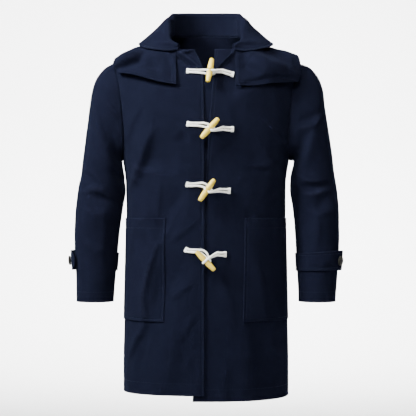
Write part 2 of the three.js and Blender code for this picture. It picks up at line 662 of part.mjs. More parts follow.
// A cuff strap runs from the inner seam round the front or the back to the outer side, where it stands off.
function cuffStrap(side) {
  const { grid, out } = sleeves[side];
  const { by, reach } = STRAPS[side];
  const count = grid[0].length;
  const middle = (STRAP_RINGS.first + STRAP_RINGS.last) / 2;
  const rows = [];
  const standing = [];
  for (let r = STRAP_RINGS.first; r <= STRAP_RINGS.last; r += 1) {
    rows.push([]);
    standing.push([]);
    for (let k = 0; k <= reach; k += 1) {
      const c = by === "front" ? (YOKE_ROWS - k + count) % count : (YOKE_ROWS + k) % count;
      const share = k / reach;
      const lift = SEAM_GAP + STRAP_LYING + STRAP_STANDING * clamp((share - 0.45) / 0.4, 0, 1) ** 2;
      const point = grid[r][c].clone().addScaledVector(out[r][c], lift);
      if (k === reach) {
        const centre = grid[middle][c].clone().addScaledVector(out[middle][c], lift);
        point.lerp(centre, 0.4);
      }
      rows[rows.length - 1].push(point);
      standing[standing.length - 1].push(out[r][c]);
    }
  }
  return { inner: rows, outer: moved(rows, standing, HOOD_CLOTH), out: standing };
}

for (const side of ["right", "left"]) {
  const strap = cuffStrap(side);
  add(`cuff_strap_${side}`, wall(strap.outer, strap.inner), "cloth");
  const seat = strap.outer[1][STRAPS[side].seat];
  const out = strap.out[1][STRAPS[side].seat];
  const profile = [
    [0, -BUTTON_SHANK],
    [3, -BUTTON_SHANK],
    [3, 0],
    [BUTTON_RADIUS - 1, 0],
    [BUTTON_RADIUS, 1],
    [BUTTON_RADIUS, BUTTON_HEIGHT - 1],
    [BUTTON_RADIUS - 1.2, BUTTON_HEIGHT],
    [BUTTON_RADIUS - 2.6, BUTTON_HEIGHT - 1],
    [0, BUTTON_HEIGHT - 1],
  ].map(([r, h]) => new THREE.Vector2(r, h));
  const button = add(`cuff_button_${side}`, new THREE.LatheGeometry(profile, 20), "horn");
  button.quaternion.setFromUnitVectors(vec(0, 1, 0), out);
  button.position.copy(seat).addScaledVector(out, BUTTON_SHANK + SEAM_GAP);
}

// The neck seam runs along the top edges of one front and of the back.
const neckRun = Object.fromEntries(
  ["right", "left"].map((side) => {
    const sign = OUTWARD[side];
    const ahead = fronts[side].outer[0].slice(0, NECK_COLUMNS + 1).map((p) => vec(sign * p.x, p.y, p.z));
    const behind = back.outer[0].filter((p) => p.x >= 0 && p.x < NECK_SIDE_X + 0.1).reverse();
    return [side, [...ahead, ...behind]];
  }),
);

// The point of the neck seam that lies at this turn from the front, with x counted outward
function neckSeam(side, turn) {
  const way = vec(Math.sin(radians(turn)), -Math.cos(radians(turn)), 0);
  const run = neckRun[side];
  const off = run.map((p) => p.x * way.y - p.y * way.x);
  for (let i = 0; i < run.length - 1; i += 1) {
    if (off[i] * off[i + 1] <= 0 && run[i].dot(way) > 0 && off[i] !== off[i + 1]) {
      return run[i].clone().lerp(run[i + 1], off[i] / (off[i] - off[i + 1]));
    }
  }
  return run[run.length - 1].clone();
}

const rim = columns(RIM_SECTIONS, "turn");

// A point of the rim: up the stand, over the fold and down the fall
function rimPoint(side, turn, way) {
  const seam = neckSeam(side, turn);
  const outward = vec(Math.sin(radians(turn)), -Math.cos(radians(turn)), 0);
  const seamR = Math.hypot(seam.x, seam.y);
  const foldR = seamR + rim.foldOut(turn);
  const foldZ = rim.foldZ(turn);
  const baseZ = seam.z + (turn < 75 ? 2.6 : 2);
  const height = foldZ - baseZ;
  const roll = Math.min(9, height * 0.45);
  const stand = 0.4;
  if (way <= stand) {
    const up = way / stand;
    const turned = radians(90) * clamp((up - 0.6) / 0.4, 0, 1);
    const r = up < 0.6 ? mix(seamR, foldR - roll, up / 0.6) : foldR - roll * Math.cos(turned);
    const z = up < 0.6 ? mix(baseZ, foldZ - roll, up / 0.6) : foldZ - roll + roll * Math.sin(turned);
    return outward.multiplyScalar(r).setZ(z);
  }
  const down = (way - stand) / (1 - stand);
  const roundTop = 4 * clamp(down / 0.1, 0, 1) * (1 - down);
  const r = mix(foldR, rim.edgeR(turn), down ** 1.15) + roundTop;
  return outward.multiplyScalar(r).setZ(mix(foldZ, rim.edgeZ(turn), down ** 0.95));
}

const RIM_TURNS = [41, 45, 50, 56, 62, 68, 74, 80, 85, 90, 96, 104, 115, 130, 146, 163, 180];
const RIM_WAYS = [0, 0.12, 0.24, 0.31, 0.36, 0.4, 0.46, 0.56, 0.7, 0.85, 1];

// The rim, from the right front edge round the back to the left one
function hoodRim() {
  const onSide = (side) => {
    const turned = vec(OUTWARD[side], 1, 1);
    return RIM_TURNS.map((turn) => RIM_WAYS.map((way) => rimPoint(side, turn, way).multiply(turned)));
  };
  const rows = [...onSide("right"), ...onSide("left").reverse().slice(1)];
  const out = gridNormals(rows, false, 1);
  return wall(moved(rows, out, HOOD_CLOTH / 2), moved(rows, out, -HOOD_CLOTH / 2));
}
add("hood_rim", hoodRim(), "cloth");

const hoodEdge = columns(HOOD_EDGE, "way");
const hood = columns(HOOD_SECTIONS, "way");
const hoodStand = columns(HOOD_STAND, "way");

// The body's surface along a straight line out of the middle of the chest, and some way past it
function offBody(towards, lift) {
  const way = towards.clone().sub(CHEST_MIDDLE).normalize();
  let low = 20;
  let high = 400;
  for (let i = 0; i < 40; i += 1) {
    const reach = (low + high) / 2;
    const p = CHEST_MIDDLE.clone().addScaledVector(way, reach);
    const b = p.y < 0 ? depth.front(p.z) : depth.back(p.z);
    const share = Math.abs(p.x / half(p.z)) ** ROUNDNESS + Math.abs(p.y / b) ** ROUNDNESS;
    if (share < 1) low = reach;
    else high = reach;
  }
  return CHEST_MIDDLE.clone().addScaledVector(way, low + lift);
}

// A point of the hood's body: out from the neck over the shoulder, down, and under at the back
function hoodPoint(side, way, share) {
  const seam = neckSeam(side, hood.neck(way));
  const seamR = Math.hypot(seam.x, seam.y);
  const start = seam.clone().multiplyScalar((seamR + hood.out(way)) / seamR).setZ(seam.z - hood.drop(way));
  const targetZ = side === "left" ? hoodEdge.leftZ(way) : hoodEdge.z(way);
  const target = vec(hoodEdge.x(way), hoodEdge.y(way), targetZ);
  const lying = (t) => {
    const atEdge = hoodStand[`${side}Lift`](way);
    const midway = hoodStand[`${side}Loft`](way);
    const lift = mix(HOOD_START_LIFT, atEdge, t * t) + midway * 6.75 * t * t * (1 - t);
    return offBody(start.clone().lerp(target, t), lift);
  };
  const end = lying(1);
  const hook = hood.hook(way);
  const main = start.distanceTo(end) * 1.08;
  const radius = HOOD_HOOK_RADIUS * hook;
  const curl = Math.PI * radius;
  const run = share * (main + curl + HOOD_HOOK_RISE * hook);
  if (run <= main || hook < 0.02) return lying(Math.min(run / main, 1));
  const inward = vec(-end.x, -end.y, 0).normalize();
  const past = run - main;
  if (past <= curl) {
    const turned = past / radius;
    const point = end.clone().addScaledVector(inward, radius * (1 - Math.cos(turned)));
    point.z -= radius * Math.sin(turned);
    return point;
  }
  const point = end.clone().addScaledVector(inward, 2 * radius);
  point.z += past - curl;
  return point;
}

const HOOD_SHARES = Array.from({ length: 12 }, (_, i) => i / 11);

// The rows between the first and the last eased towards their neighbours
function eased(rows) {
  return rows.map((row, r) => {
    if (r === 0 || r === rows.length - 1) return row;
    return row.map((p, c) => {
      const point = p.clone().lerp(rows[r - 1][c].clone().add(rows[r + 1][c]).multiplyScalar(0.5), 0.5);
      const clear = offBody(point, mix(HOOD_CLEARANCE.front, HOOD_CLEARANCE.back, clamp(point.y / 40, 0, 1)));
      return clear.distanceTo(CHEST_MIDDLE) > point.distanceTo(CHEST_MIDDLE) ? clear : point;
    });
  });
}

// The eased rows, drawn back at their outer end to where it was
function edgeKept(plain, rows) {
  return rows.map((row, r) => {
    const shift = plain[r][row.length - 1].clone().sub(row[row.length - 1]);
    return row.map((p, c) => p.clone().addScaledVector(shift, HOOD_SHARES[c] ** 1.5));
  });
}

// One of the hood's panels; ways below 0 are on the right side.
function hoodPiece(ways) {
  const sections = ways.map((way) => {
    const sign = way < 0 ? -1 : 1;
    return HOOD_SHARES.map((share) => {
      return hoodPoint(sign < 0 ? "right" : "left", Math.abs(way), share).multiply(vec(sign, 1, 1));
    });
  });
  const rows = edgeKept(sections, eased(eased(sections)));
  const out = gridNormals(rows, false, ways[1] > ways[0] ? 1 : -1);
  return wall(moved(rows, out, HOOD_CLOTH / 2), moved(rows, out, -HOOD_CLOTH / 2));
}

const SIDE_WAYS = [0, 0.08, 0.16, 0.24, 0.32, 0.38, 0.42, 0.47, 0.53, 0.6, 0.68, 0.76, HOOD_SEAM - 0.002];
const MIDDLE_WAYS = [HOOD_SEAM + 0.002, 0.88, 0.92, 0.96, 1];
const mirrored = (ways) => ways.map((way) => -way);
add("hood_side_right", hoodPiece(mirrored(SIDE_WAYS).map((way) => way || -1e-6)), "cloth");
add("hood_side_left", hoodPiece(SIDE_WAYS), "cloth");
add("hood_middle", hoodPiece([...MIDDLE_WAYS, ...mirrored(MIDDLE_WAYS.slice(0, -1)).reverse()]), "cloth");

// A toggle is a turned bead with a waist; its axis lies across the front's surface.
function toggleGeometry() {
  const upper = TOGGLE_PROFILE.map(({ share, radius }) => [radius, (share * TOGGLE_LENGTH) / 2]);
  const lower = upper.slice(1).reverse().map(([r, h]) => [r, -h]);
  const points = [[0, -TOGGLE_LENGTH / 2], ...lower, ...upper, [0, TOGGLE_LENGTH / 2]];
  return new THREE.LatheGeometry(points.map(([r, h]) => new THREE.Vector2(r, h)), 12);
}

// A soft cord of an oval section along a smooth line
function cordGeometry(points, steps) {
  const section = new THREE.Shape();
  section.absellipse(0, 0, CORD_RADIUS, CORD_RADIUS, 0, Math.PI * 2);
  const path = new THREE.CatmullRomCurve3(points, false, "centripetal");
  const sizes = { steps, curveSegments: 3, bevelEnabled: false, extrudePath: path };
  return new THREE.ExtrudeGeometry(section, sizes);
}

// A strand's height over the body's plain form, the loop's first and then that of the toggle's own cord
const loopStand = (x, z) => frontLift("right", x, z) + CORD_RADIUS + 0.8;
const stemStand = (x, z, share) => mix(CORD_RADIUS, loopStand(x, z) + 2 * CORD_RADIUS + 1, share);

// One strand from its sewn end, to one hand of the straight line to the tip
function strand(from, to, hand, pitch, shares, stand) {
  const aside = vec(to.z - from.z, 0, from.x - to.x).normalize();
  return shares.map((share) => {
    const off = (hand * pitch(share)) / 2;
    const x = mix(from.x, to.x, share) + aside.x * off;
    const z = mix(from.z, to.z, share) + aside.z * off;
    return bodySurface("front", x, z, stand(x, z, share)).point;
  });
}

// The loop runs from its sewn end past the toggle, and back.
function loopCord(sewn, tip) {
  const shares = [0, 0.3, 0.6, 0.85, 0.97];
  const pitch = (share) => LOOP_PITCH * (share > 0.9 ? 0.7 : 1);
  const turn = bodySurface("front", tip.x + 2, tip.z, loopStand(tip.x, tip.z)).point;
  const there = strand(sewn, tip, 1, pitch, shares, loopStand);
  return [...there, turn, ...strand(sewn, tip, -1, pitch, shares, loopStand).reverse()];
}

// The toggle's own cord runs from its sewn end, round the toggle's waist, and back.
function stemCord(sewn, middle, axis, out) {
  const aside = axis.clone().cross(out).normalize();
  if (aside.x < 0) aside.negate();
  const wrap = CORD_RADIUS + TOGGLE_PROFILE[0].radius + 0.6;
  const around = (turn, reach = wrap) =>
    middle
      .clone()
      .addScaledVector(aside, Math.cos(radians(turn)) * reach)
      .addScaledVector(out, Math.sin(radians(turn)) * wrap);
  const near = { x: middle.x + aside.x * 24, z: middle.z + aside.z * 24 };
  const shares = [0, 0.35, 0.7];
  const rise = (x, z, share) => stemStand(x, z, clamp(share * 1.4, 0, 1));
  const pitch = (share) => mix(STEM_PITCH.sewn, STEM_PITCH.near, share);
  const over = strand(sewn, near, 1, pitch, shares, rise);
  const under = strand(sewn, near, -1, pitch, shares, rise);
  const ring = [around(50, wrap * 1.5), around(90), around(135), around(180), around(225), around(270)];
  return [...over, ...ring, around(285, wrap * 4), ...under.reverse()];
}

TOGGLES.forEach((toggle, i) => {
  const number = i + 1;
  const { point: middle, out } = onFront("right", toggle.x, toggle.z, TOGGLE_STAND);
  const bead = add(`toggle_${number}`, toggleGeometry(), "wood");
  const lean = radians(toggle.lean);
  const axis = vec(Math.sin(lean), 0, Math.cos(lean));
  axis.addScaledVector(out, -axis.dot(out)).normalize();
  bead.quaternion.setFromUnitVectors(vec(0, 1, 0), axis);
  bead.position.copy(middle);
  const loop = loopCord({ x: toggle.loopX, z: toggle.loopZ }, { x: toggle.x + 10, z: toggle.z });
  add(`loop_cord_${number}`, cordGeometry(loop, 22), "cord");
  const stem = stemCord({ x: toggle.stemX, z: toggle.stemZ }, middle, axis, out);
  add(`stem_cord_${number}`, cordGeometry(stem, 30), "cord");
});

export default coat;
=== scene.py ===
"""A navy duffle coat, filled out as it is when worn, with its hood laid down on the shoulders.

The coat's own sizes are in millimetres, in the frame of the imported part: +Z up, the front faces -Y, and the origin is
the middle of the neck opening. Meshes are made in metres.
"""

import logging
import math
from collections.abc import Callable, Sequence
from dataclasses import dataclass, field
from enum import Enum

import bpy
import numpy as np
from mathutils import Matrix, Vector


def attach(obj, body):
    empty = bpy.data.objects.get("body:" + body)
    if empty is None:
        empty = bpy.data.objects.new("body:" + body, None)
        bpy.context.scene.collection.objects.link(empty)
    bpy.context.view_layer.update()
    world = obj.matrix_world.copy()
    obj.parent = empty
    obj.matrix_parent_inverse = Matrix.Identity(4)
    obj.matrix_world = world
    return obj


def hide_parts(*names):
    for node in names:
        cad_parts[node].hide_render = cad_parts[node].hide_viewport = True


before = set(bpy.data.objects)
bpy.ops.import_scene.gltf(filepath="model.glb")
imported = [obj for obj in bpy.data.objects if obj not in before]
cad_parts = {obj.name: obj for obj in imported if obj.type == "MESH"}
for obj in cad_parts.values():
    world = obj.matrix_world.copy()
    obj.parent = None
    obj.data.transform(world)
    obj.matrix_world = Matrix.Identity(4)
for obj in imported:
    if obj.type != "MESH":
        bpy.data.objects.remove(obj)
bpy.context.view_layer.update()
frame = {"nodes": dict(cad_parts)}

log = logging.getLogger("duffle_coat")
Array = np.ndarray
Curve = Callable[[Array], Array]
Point = tuple[float, float, float]
Colour = tuple[float, float, float, float]
Pair = tuple[Array, Array]
Faces = list[tuple[int, ...]]
Mesh = tuple[Array, Faces]
Material, Node, Object = bpy.types.Material, bpy.types.Node, bpy.types.Object
Socket, Tree = bpy.types.NodeSocket, bpy.types.NodeTree
MM = 0.001
TINY = 1e-9


class Face(Enum):
    """The two halves of the body, split at the side seams."""

    FRONT = -1
    BACK = 1


class Side(Enum):
    """The wearer's sides; the value is the sign of x."""

    RIGHT = -1
    LEFT = 1

    @property
    def word(self) -> str:
        """The side's name as it stands in node names."""
        return self.name.lower()

    @property
    def mirror(self) -> Array:
        """What turns points with x counted outward into points on this side."""
        return np.array([self.value, 1, 1])


@dataclass(frozen=True)
class Table:
    """Rows of sizes under named columns, joined by smooth curves that don't overshoot."""

    columns: str
    rows: tuple[tuple[float, ...], ...]

    def curve(self, along: str, value: str) -> Curve:
        """A smooth curve through one column.

        Args:
            along: the column that the curve runs along.
            value: the column that it gives.

        Returns:
            A function from an array of places to an array of values.
        """
        names = self.columns.split()
        data = np.array(sorted(self.rows, key=lambda row: row[names.index(along)]), float)
        at = data[:, names.index(along)]
        height = data[:, names.index(value)]
        step = np.diff(at)
        slope = np.diff(height) / step
        tangent = np.concatenate([slope[:1], slope, slope[-1:]])[:-1]
        product = slope[:-1] * slope[1:]
        total = np.where(np.abs(slope[:-1] + slope[1:]) < 1e-12, 1, slope[:-1] + slope[1:])
        tangent[1:-1] = np.where(product > 0, 2 * product / total, 0)
        tangent[-1] = slope[-1]

        def value_at(places: Array) -> Array:
            """The curve's values at an array of places."""
            x = np.clip(np.asarray(places, float), at[0], at[-1])
            i = np.clip(np.searchsorted(at, x, side="right") - 1, 0, len(step) - 1)
            t = (x - at[i]) / step[i]
            rise = 3 * t**2 - 2 * t**3
            bend = t * (1 - t) ** 2 * tangent[i] - t**2 * (1 - t) * tangent[i + 1]
            return height[i] * (1 - rise) + height[i + 1] * rise + step[i] * bend

        return value_at


def mix(a: Array | float, b: Array | float, t: Array | float) -> Array:
    """The value a share of the way from one to another."""
    return a + (np.asarray(b) - a) * t


def within(values: Array) -> Array:
    """Values held between 0 and 1."""
    return np.clip(values, 0, 1)


def unit(ways: Array) -> Array:
    """Vectors made one long."""
    return ways / np.maximum(np.linalg.norm(ways, axis=-1, keepdims=True), TINY)


def swell(away: Array, width: float) -> Array:
    """A round swell, 1 high in its middle, that fades over a width."""
    return np.exp(-((away / width) ** 2))


def distances(path: Array) -> Array:
    """How far along a path each of its points is."""
    return np.concatenate([[0], np.cumsum(np.linalg.norm(np.diff(path, axis=0), axis=1))])


def nearest(places: Array, wanted: float) -> int:
    """The number of the place that is nearest to a wanted one."""
    return int(np.argmin(np.abs(places - wanted)))


CLOTH = 2.0
HOOD_CLOTH = 2.6
UNDERLAP_CLOTH = 1.6
SEAM_GAP = 0.3
SHOULDER_Z = -75.0
NECK_SIDE_X = 88.0
NECK_SIDE_Z = -14.0
NECK_FRONT_Z = -53.0
ARMPIT_Z = -318.0
POCKET_TOP_Z = -463.0
POCKET_BOTTOM_Z = -711.0
HEM_Z = {Side.RIGHT: -886.0, Side.LEFT: -900.0}
BACK_HEM_Z = -891.0
OVERLAP_LIFT = 4.6
OVERLAP_WIDTH = 90.0
OVERLAP_TOP_Z = -180.0
ROUNDNESS = 2.3
WAIST_HALF = 200.0
WAIST_DEPTH = 130.0
EDGE_BULGE = 0.42
THREAD_HALF = (0.42, 0.34)
STITCH_SHARE = 0.8

BODY_RINGS = Table("z half front back", (
    (-900, 205, 148, 138), (-820, 205, 147, 135), (-700, 203, 143, 128), (-560, 200, 136, 118),
    (-460, 198, 131, 112), (-380, 199, 129, 110), (-318, 207, 128, 113), (-240, 222, 126, 112),
    (-160, 228, 115, 105), (-120, 230, 104, 99), (-90, 231, 93, 94), (-75, 228, 87, 91),
    (-60, 192, 83, 88), (-45, 155, 79, 85.5), (-27, 112, 75, 82.5), (-14, 88, 72, 80),
    (0, 68, 69, 78), (6, 60, 68, 77),
))
NECKLINE = Table("way x z", (
    (0, 0, -53), (0.3, 30, -52.5), (0.55, 60, -50), (0.7, 76, -41), (0.82, 84, -29), (0.92, 87, -21), (1, 88, -14),
))
ARMHOLE = Table("z front back", (
    (-318, 207, 207), (-300, 203.5, 205), (-270, 201, 205), (-210, 205, 209), (-141, 214, 216), (-100, 223, 223),
    (-75, 228, 228),
))
FRONT_EDGES = {
    Side.RIGHT: Table("z out", ((-900, 4), (-300, 4), (-110, 7), (-97, 8.5), (-53, 27))),
    Side.LEFT: Table("z out", (
        (-900, -31), (-368, 1), (-283, 6), (-143, 16), (-112, 18), (-97, 31), (-60, 60), (-49, 63),
    )),
}
UNDERLAP_EDGE = Table("z out", ((-900, -46), (-368, -24), (-150, -12), (-118, 4), (-84, 20), (-49, 22)))
COLUMN_TURNS = np.array([0, 9, 17.5, 26, 34, 42, 50, 58, 66, 74, 82, 90.0])
NECK_COLUMNS = 5
POCKET_TURNS = (26.0, 82.0)

SLEEVE_STATIONS = Table("way outX outZ inX inZ front back midY", (
    (0, 228, -75, 207, -318, 52, 50, 0), (1, 252, -88, 209.5, -321, 60, 58, 0),
    (2, 271, -112, 209, -330, 65, 63, 0), (3, 283, -146, 207, -344, 67, 66, 0),
    (4, 292, -192, 205, -364, 67, 67, -1), (5, 303, -262, 204, -391, 65, 66, -3),
    (6, 314, -340, 208.5, -424, 62, 63, -6), (7, 323, -400, 213.5, -460, 60, 60, -10),
    (8, 328, -462, 218, -500, 58, 57, -15), (9, 328, -543, 221.5, -550, 54, 53, -22),
    (10, 325, -590, 224, -592, 51, 50, -26), (11, 320, -668, 228, -668, 46, 46, -32),
))
SLEEVE_SHIFT = Table("way right left", (
    (0, 0, 0), (1, 0, 9), (3, -0.5, 8), (4, -1.5, 6), (6, -3, 6), (8, -3, 3.5), (10, -2, 2), (11, 0, 0.5),
))
# A degree round the middle of the sleeve, in millimetres
TURN_WIDTH = 0.96
YOKE_ROWS = 10
STRAPS = {Side.RIGHT: (1, 12, 10), Side.LEFT: (-1, 10, 8)}

RIM_SECTIONS = Table("turn foldOut foldZ edgeR edgeZ", (
    (41, 3, -38, 104, -52), (49, 4, -31, 122, -55), (58, 5, -22, 142, -52), (68, 6, -5, 158, -45),
    (79, 8, 17, 168, -35), (90, 9, 37, 166, -27), (102, 10, 49, 152, -26), (125, 9, 55, 131, -32),
    (155, 8, 59.5, 120, -42), (180, 8, 60.5, 118, -46),
))
HOOD_SECTIONS = Table("way neck x y z leftZ out drop leftLoft rightLoft leftLift rightLift hook", (
    (0, 41, 72, -118, -139, -142, 8, 24, 1, 1, 12, 12, 0),
    (0.12, 46, 114, -112, -131, -141, 14, 24, 1, 1, 13, 13, 0),
    (0.24, 52, 158, -98, -119, -135, 22, 22, 1, 1, 15, 15, 0),
    (0.36, 59, 201, -78, -106, -130, 26, 20, 2, 3, 19, 19, 0),
    (0.42, 64, 225, -62, -101, -126, 26, 18, 2, 6, 24, 20, 0),
    (0.52, 78, 214, -22, -66, -70, 20, 12, 2, 12, 18, 9, 0),
    (0.62, 95, 206, 28, -62, -62, 14, 6, 4, 12, 16, 11, 0),
    (0.72, 118, 186, 84, -100, -100, 10, 4, 9, 10, 20, 19, 0.25),
    (0.82, 140, 150, 122, -168, -168, 7, 3, 15, 15, 28, 28, 0.7),
    (0.92, 160, 84, 138, -236, -236, 7, 3, 20, 20, 36, 36, 1),
    (1, 180, 0, 142, -262, -262, 7, 3, 22, 22, 40, 40, 1),
))
HOOD_SEAM = 0.84
SEAM_STITCH = 5.0
HOOD_START_LIFT = 5.0
HOOD_HOOK_RADIUS = 13.0
HOOD_HOOK_RISE = 40.0
CHEST_MIDDLE = np.array([0.0, 0.0, -200.0])


# How high a crease of height 1 comes out, and how deep the trough beside it is for that
CREASE_RISE = 1.45
TROUGH_SHARE = 0.35
# Lengths of the long waves of hanging cloth, and their sizes
WAVES = ((190, 0.9), (117, 0.6), (71, 0.35), (43, 0.16), (27, 0.08))


@dataclass(frozen=True)
class Crease:
    """A soft ridge, or a trough where its height is below 0, along a line in the plane of two surface measures."""

    line: tuple[tuple[float, float], ...]
    width: float
    height: float
    lean: float = 0.35

    def at(self, x: Array, z: Array) -> Array:
        """The crease's height at each place.

        Args:
            x: the first measure of each place.
            z: the second measure.

        Returns:
            Heights in millimetres, which fade out at both ends of the line.
        """
        ends = np.array(self.line, float)
        spans = np.hypot(*np.diff(ends, axis=0).T)
        off = np.full(np.shape(x), np.inf)
        aside = np.zeros(np.shape(x))
        way = np.zeros(np.shape(x))
        done = 0.0
        for start, end, span in zip(ends[:-1], ends[1:], spans):
            along = (end - start) / span
            held = within(((x - start[0]) * along[0] + (z - start[1]) * along[1]) / span)
            off_x = x - start[0] - held * span * along[0]
            off_z = z - start[1] - held * span * along[1]
            far = np.hypot(off_x, off_z)
            closer = far < off
            off = np.where(closer, far, off)
            aside = np.where(closer, far * np.sign(off_x * along[1] - off_z * along[0]), aside)
            way = np.where(closer, (done + held * span) / spans.sum(), way)
            done += span
        fade = np.sin(np.pi * within(0.08 + 0.84 * way)) ** 0.8
        spread = self.width * (1 + self.lean * np.tanh(aside / self.width)) * (0.7 + 0.3 * fade)
        trough = swell(aside + 1.9 * self.width, 1.2 * self.width) * swell(off, 3 * spread)
        return CREASE_RISE * self.height * fade * (swell(off, spread) - TROUGH_SHARE * trough)


def creases(*rows: tuple[float, ...]) -> tuple[Crease, ...]:
    """Creases from rows of numbers: width, height, then x and z of each point of the line."""
    return tuple(Crease(tuple(zip(row[2::2], row[3::2])), row[0], row[1]) for row in rows)


def crease_height(several: Sequence[Crease], x: Array, z: Array) -> Array:
    """The heights of several creases added up."""
    return sum((crease.at(x, z) for crease in several), np.zeros(np.shape(x)))


def unevenness(x: Array, z: Array, seed: float) -> Array:
    """The slight waviness of hanging cloth, as a sum of a few long waves.

    Args:
        x: the first measure of each place, in millimetres.
        z: the second measure.
        seed: shifts the waves, so that no two pieces are alike.

    Returns:
        Heights of about a millimetre.
    """
    total = np.zeros(np.shape(x))
    for number, (length, size) in enumerate(WAVES):
        turn = 2.399 * number + seed
        across = x * math.cos(turn) + z * math.sin(turn) * 0.6
        along = z * math.cos(turn * 1.7) * 0.5 - x * math.sin(turn * 1.3)
        wave = np.sin(across * 2 * np.pi / length + seed)
        total = total + size * wave * np.cos(along * 2 * np.pi / (length * 1.4) + turn)
    return total


# The largest folds, which the solids have too
FRONT_FOLDS = creases(
    (24, 6, -132, -245, -190, -400), (30, -4, -62, -330, -168, -318), (22, -5, -58, -395, -110, -505),
    (24, 6, -120, -520, -158, -735), (24, 5, -160, -745, -190, -860), (26, -4, -52, -565, -112, -670),
    (30, 5, -70, -700, -104, -886), (24, 5, 140, -300, 186, -445), (30, 4, 60, -190, 150, -120),
    (28, -5, 118, -700, 182, -850), (34, 5, 92, -740, 104, -898), (26, 4, 172, -700, 196, -890),
)
BACK_FOLDS = creases(
    (30, 5, -150, -330, -120, -520), (28, 5, 146, -320, 118, -500), (34, 7, -60, -560, -96, -891),
    (36, -5, 6, -620, -8, -891), (34, 7, 70, -540, 104, -891), (28, 5, -168, -600, -176, -891),
    (28, 5, 172, -640, 180, -891),
)
# Smaller creases, on the photo's lines at the front and like them at the back
FRONT_CREASES = creases(
    (9, 4.2, -130, -252, -142, -282, -156, -325, -170, -366, -192, -398), (9, 2.4, -112, -378, -119, -460),
    (10, 3.0, -60, -428, -82, -468, -100, -515), (9, 1.8, -14, -460, -52, -492, -97, -528),
    (9, 2.2, -22, -612, -66, -640, -100, -662), (10, 1.8, -22, -690, -44, -722, -58, -750),
    (16, -3.0, -62, -256, -50, -286), (6.5, 5.4, -116, -528, -136, -598, -146, -655, -143, -700),
    (6.5, 5.4, -146, -716, -166, -760, -188, -812), (9, -2.6, -136, -728, -150, -780, -162, -826),
    (8, 2.0, -176, -330, -150, -350, -120, -352), (7, 1.8, -184, -352, -160, -384), (14, -1.6, 16, -310, 32, -355),
    (9, 3.0, 156, -326, 168, -376, 180, -440), (9, -2.0, 104, -440, 112, -474),
    (10, 2.8, 148, -762, 170, -790, 194, -812), (8, 1.8, 172, -320, 140, -338, 104, -336),
    (8, -1.8, 188, -338, 168, -392, 150, -430), (11, 2.2, 120, -560, 138, -640, 144, -700),
    (12, 1.6, 36, -604, 60, -668, 66, -740), (9, 2.2, 128, -220, 176, -262, 196, -300),
    (9, 1.8, -150, -176, -182, -232, -196, -282), (14, 2.0, 40, -790, 50, -898), (13, -1.6, -30, -800, -36, -886),
)
BACK_CREASES = creases(
    (9, 3.0, -192, -330, -160, -352, -112, -350), (9, 2.8, -186, -352, -150, -398, -130, -448),
    (9, 3.0, 190, -326, 150, -356, 110, -352), (9, -2.6, 184, -350, 152, -402, 128, -456),
    (12, 2.2, -70, -330, -20, -352, 44, -344), (13, 2.6, -96, -420, -40, -446, 30, -436, 84, -448),
    (12, 2.0, -30, -490, 24, -512, 96, -500), (12, 2.4, -120, -560, -128, -660, -140, -740),
    (12, 2.4, 120, -580, 132, -700, 148, -780), (13, 2.0, 40, -640, 36, -760, 44, -880),
    (12, -2.0, -36, -700, -30, -800, -38, -884), (9, 2.2, -150, -240, -176, -276, -196, -306),
    (9, 2.2, 152, -236, 178, -272, 198, -302), (12, 2.2, 86, -760, 96, -890),
)


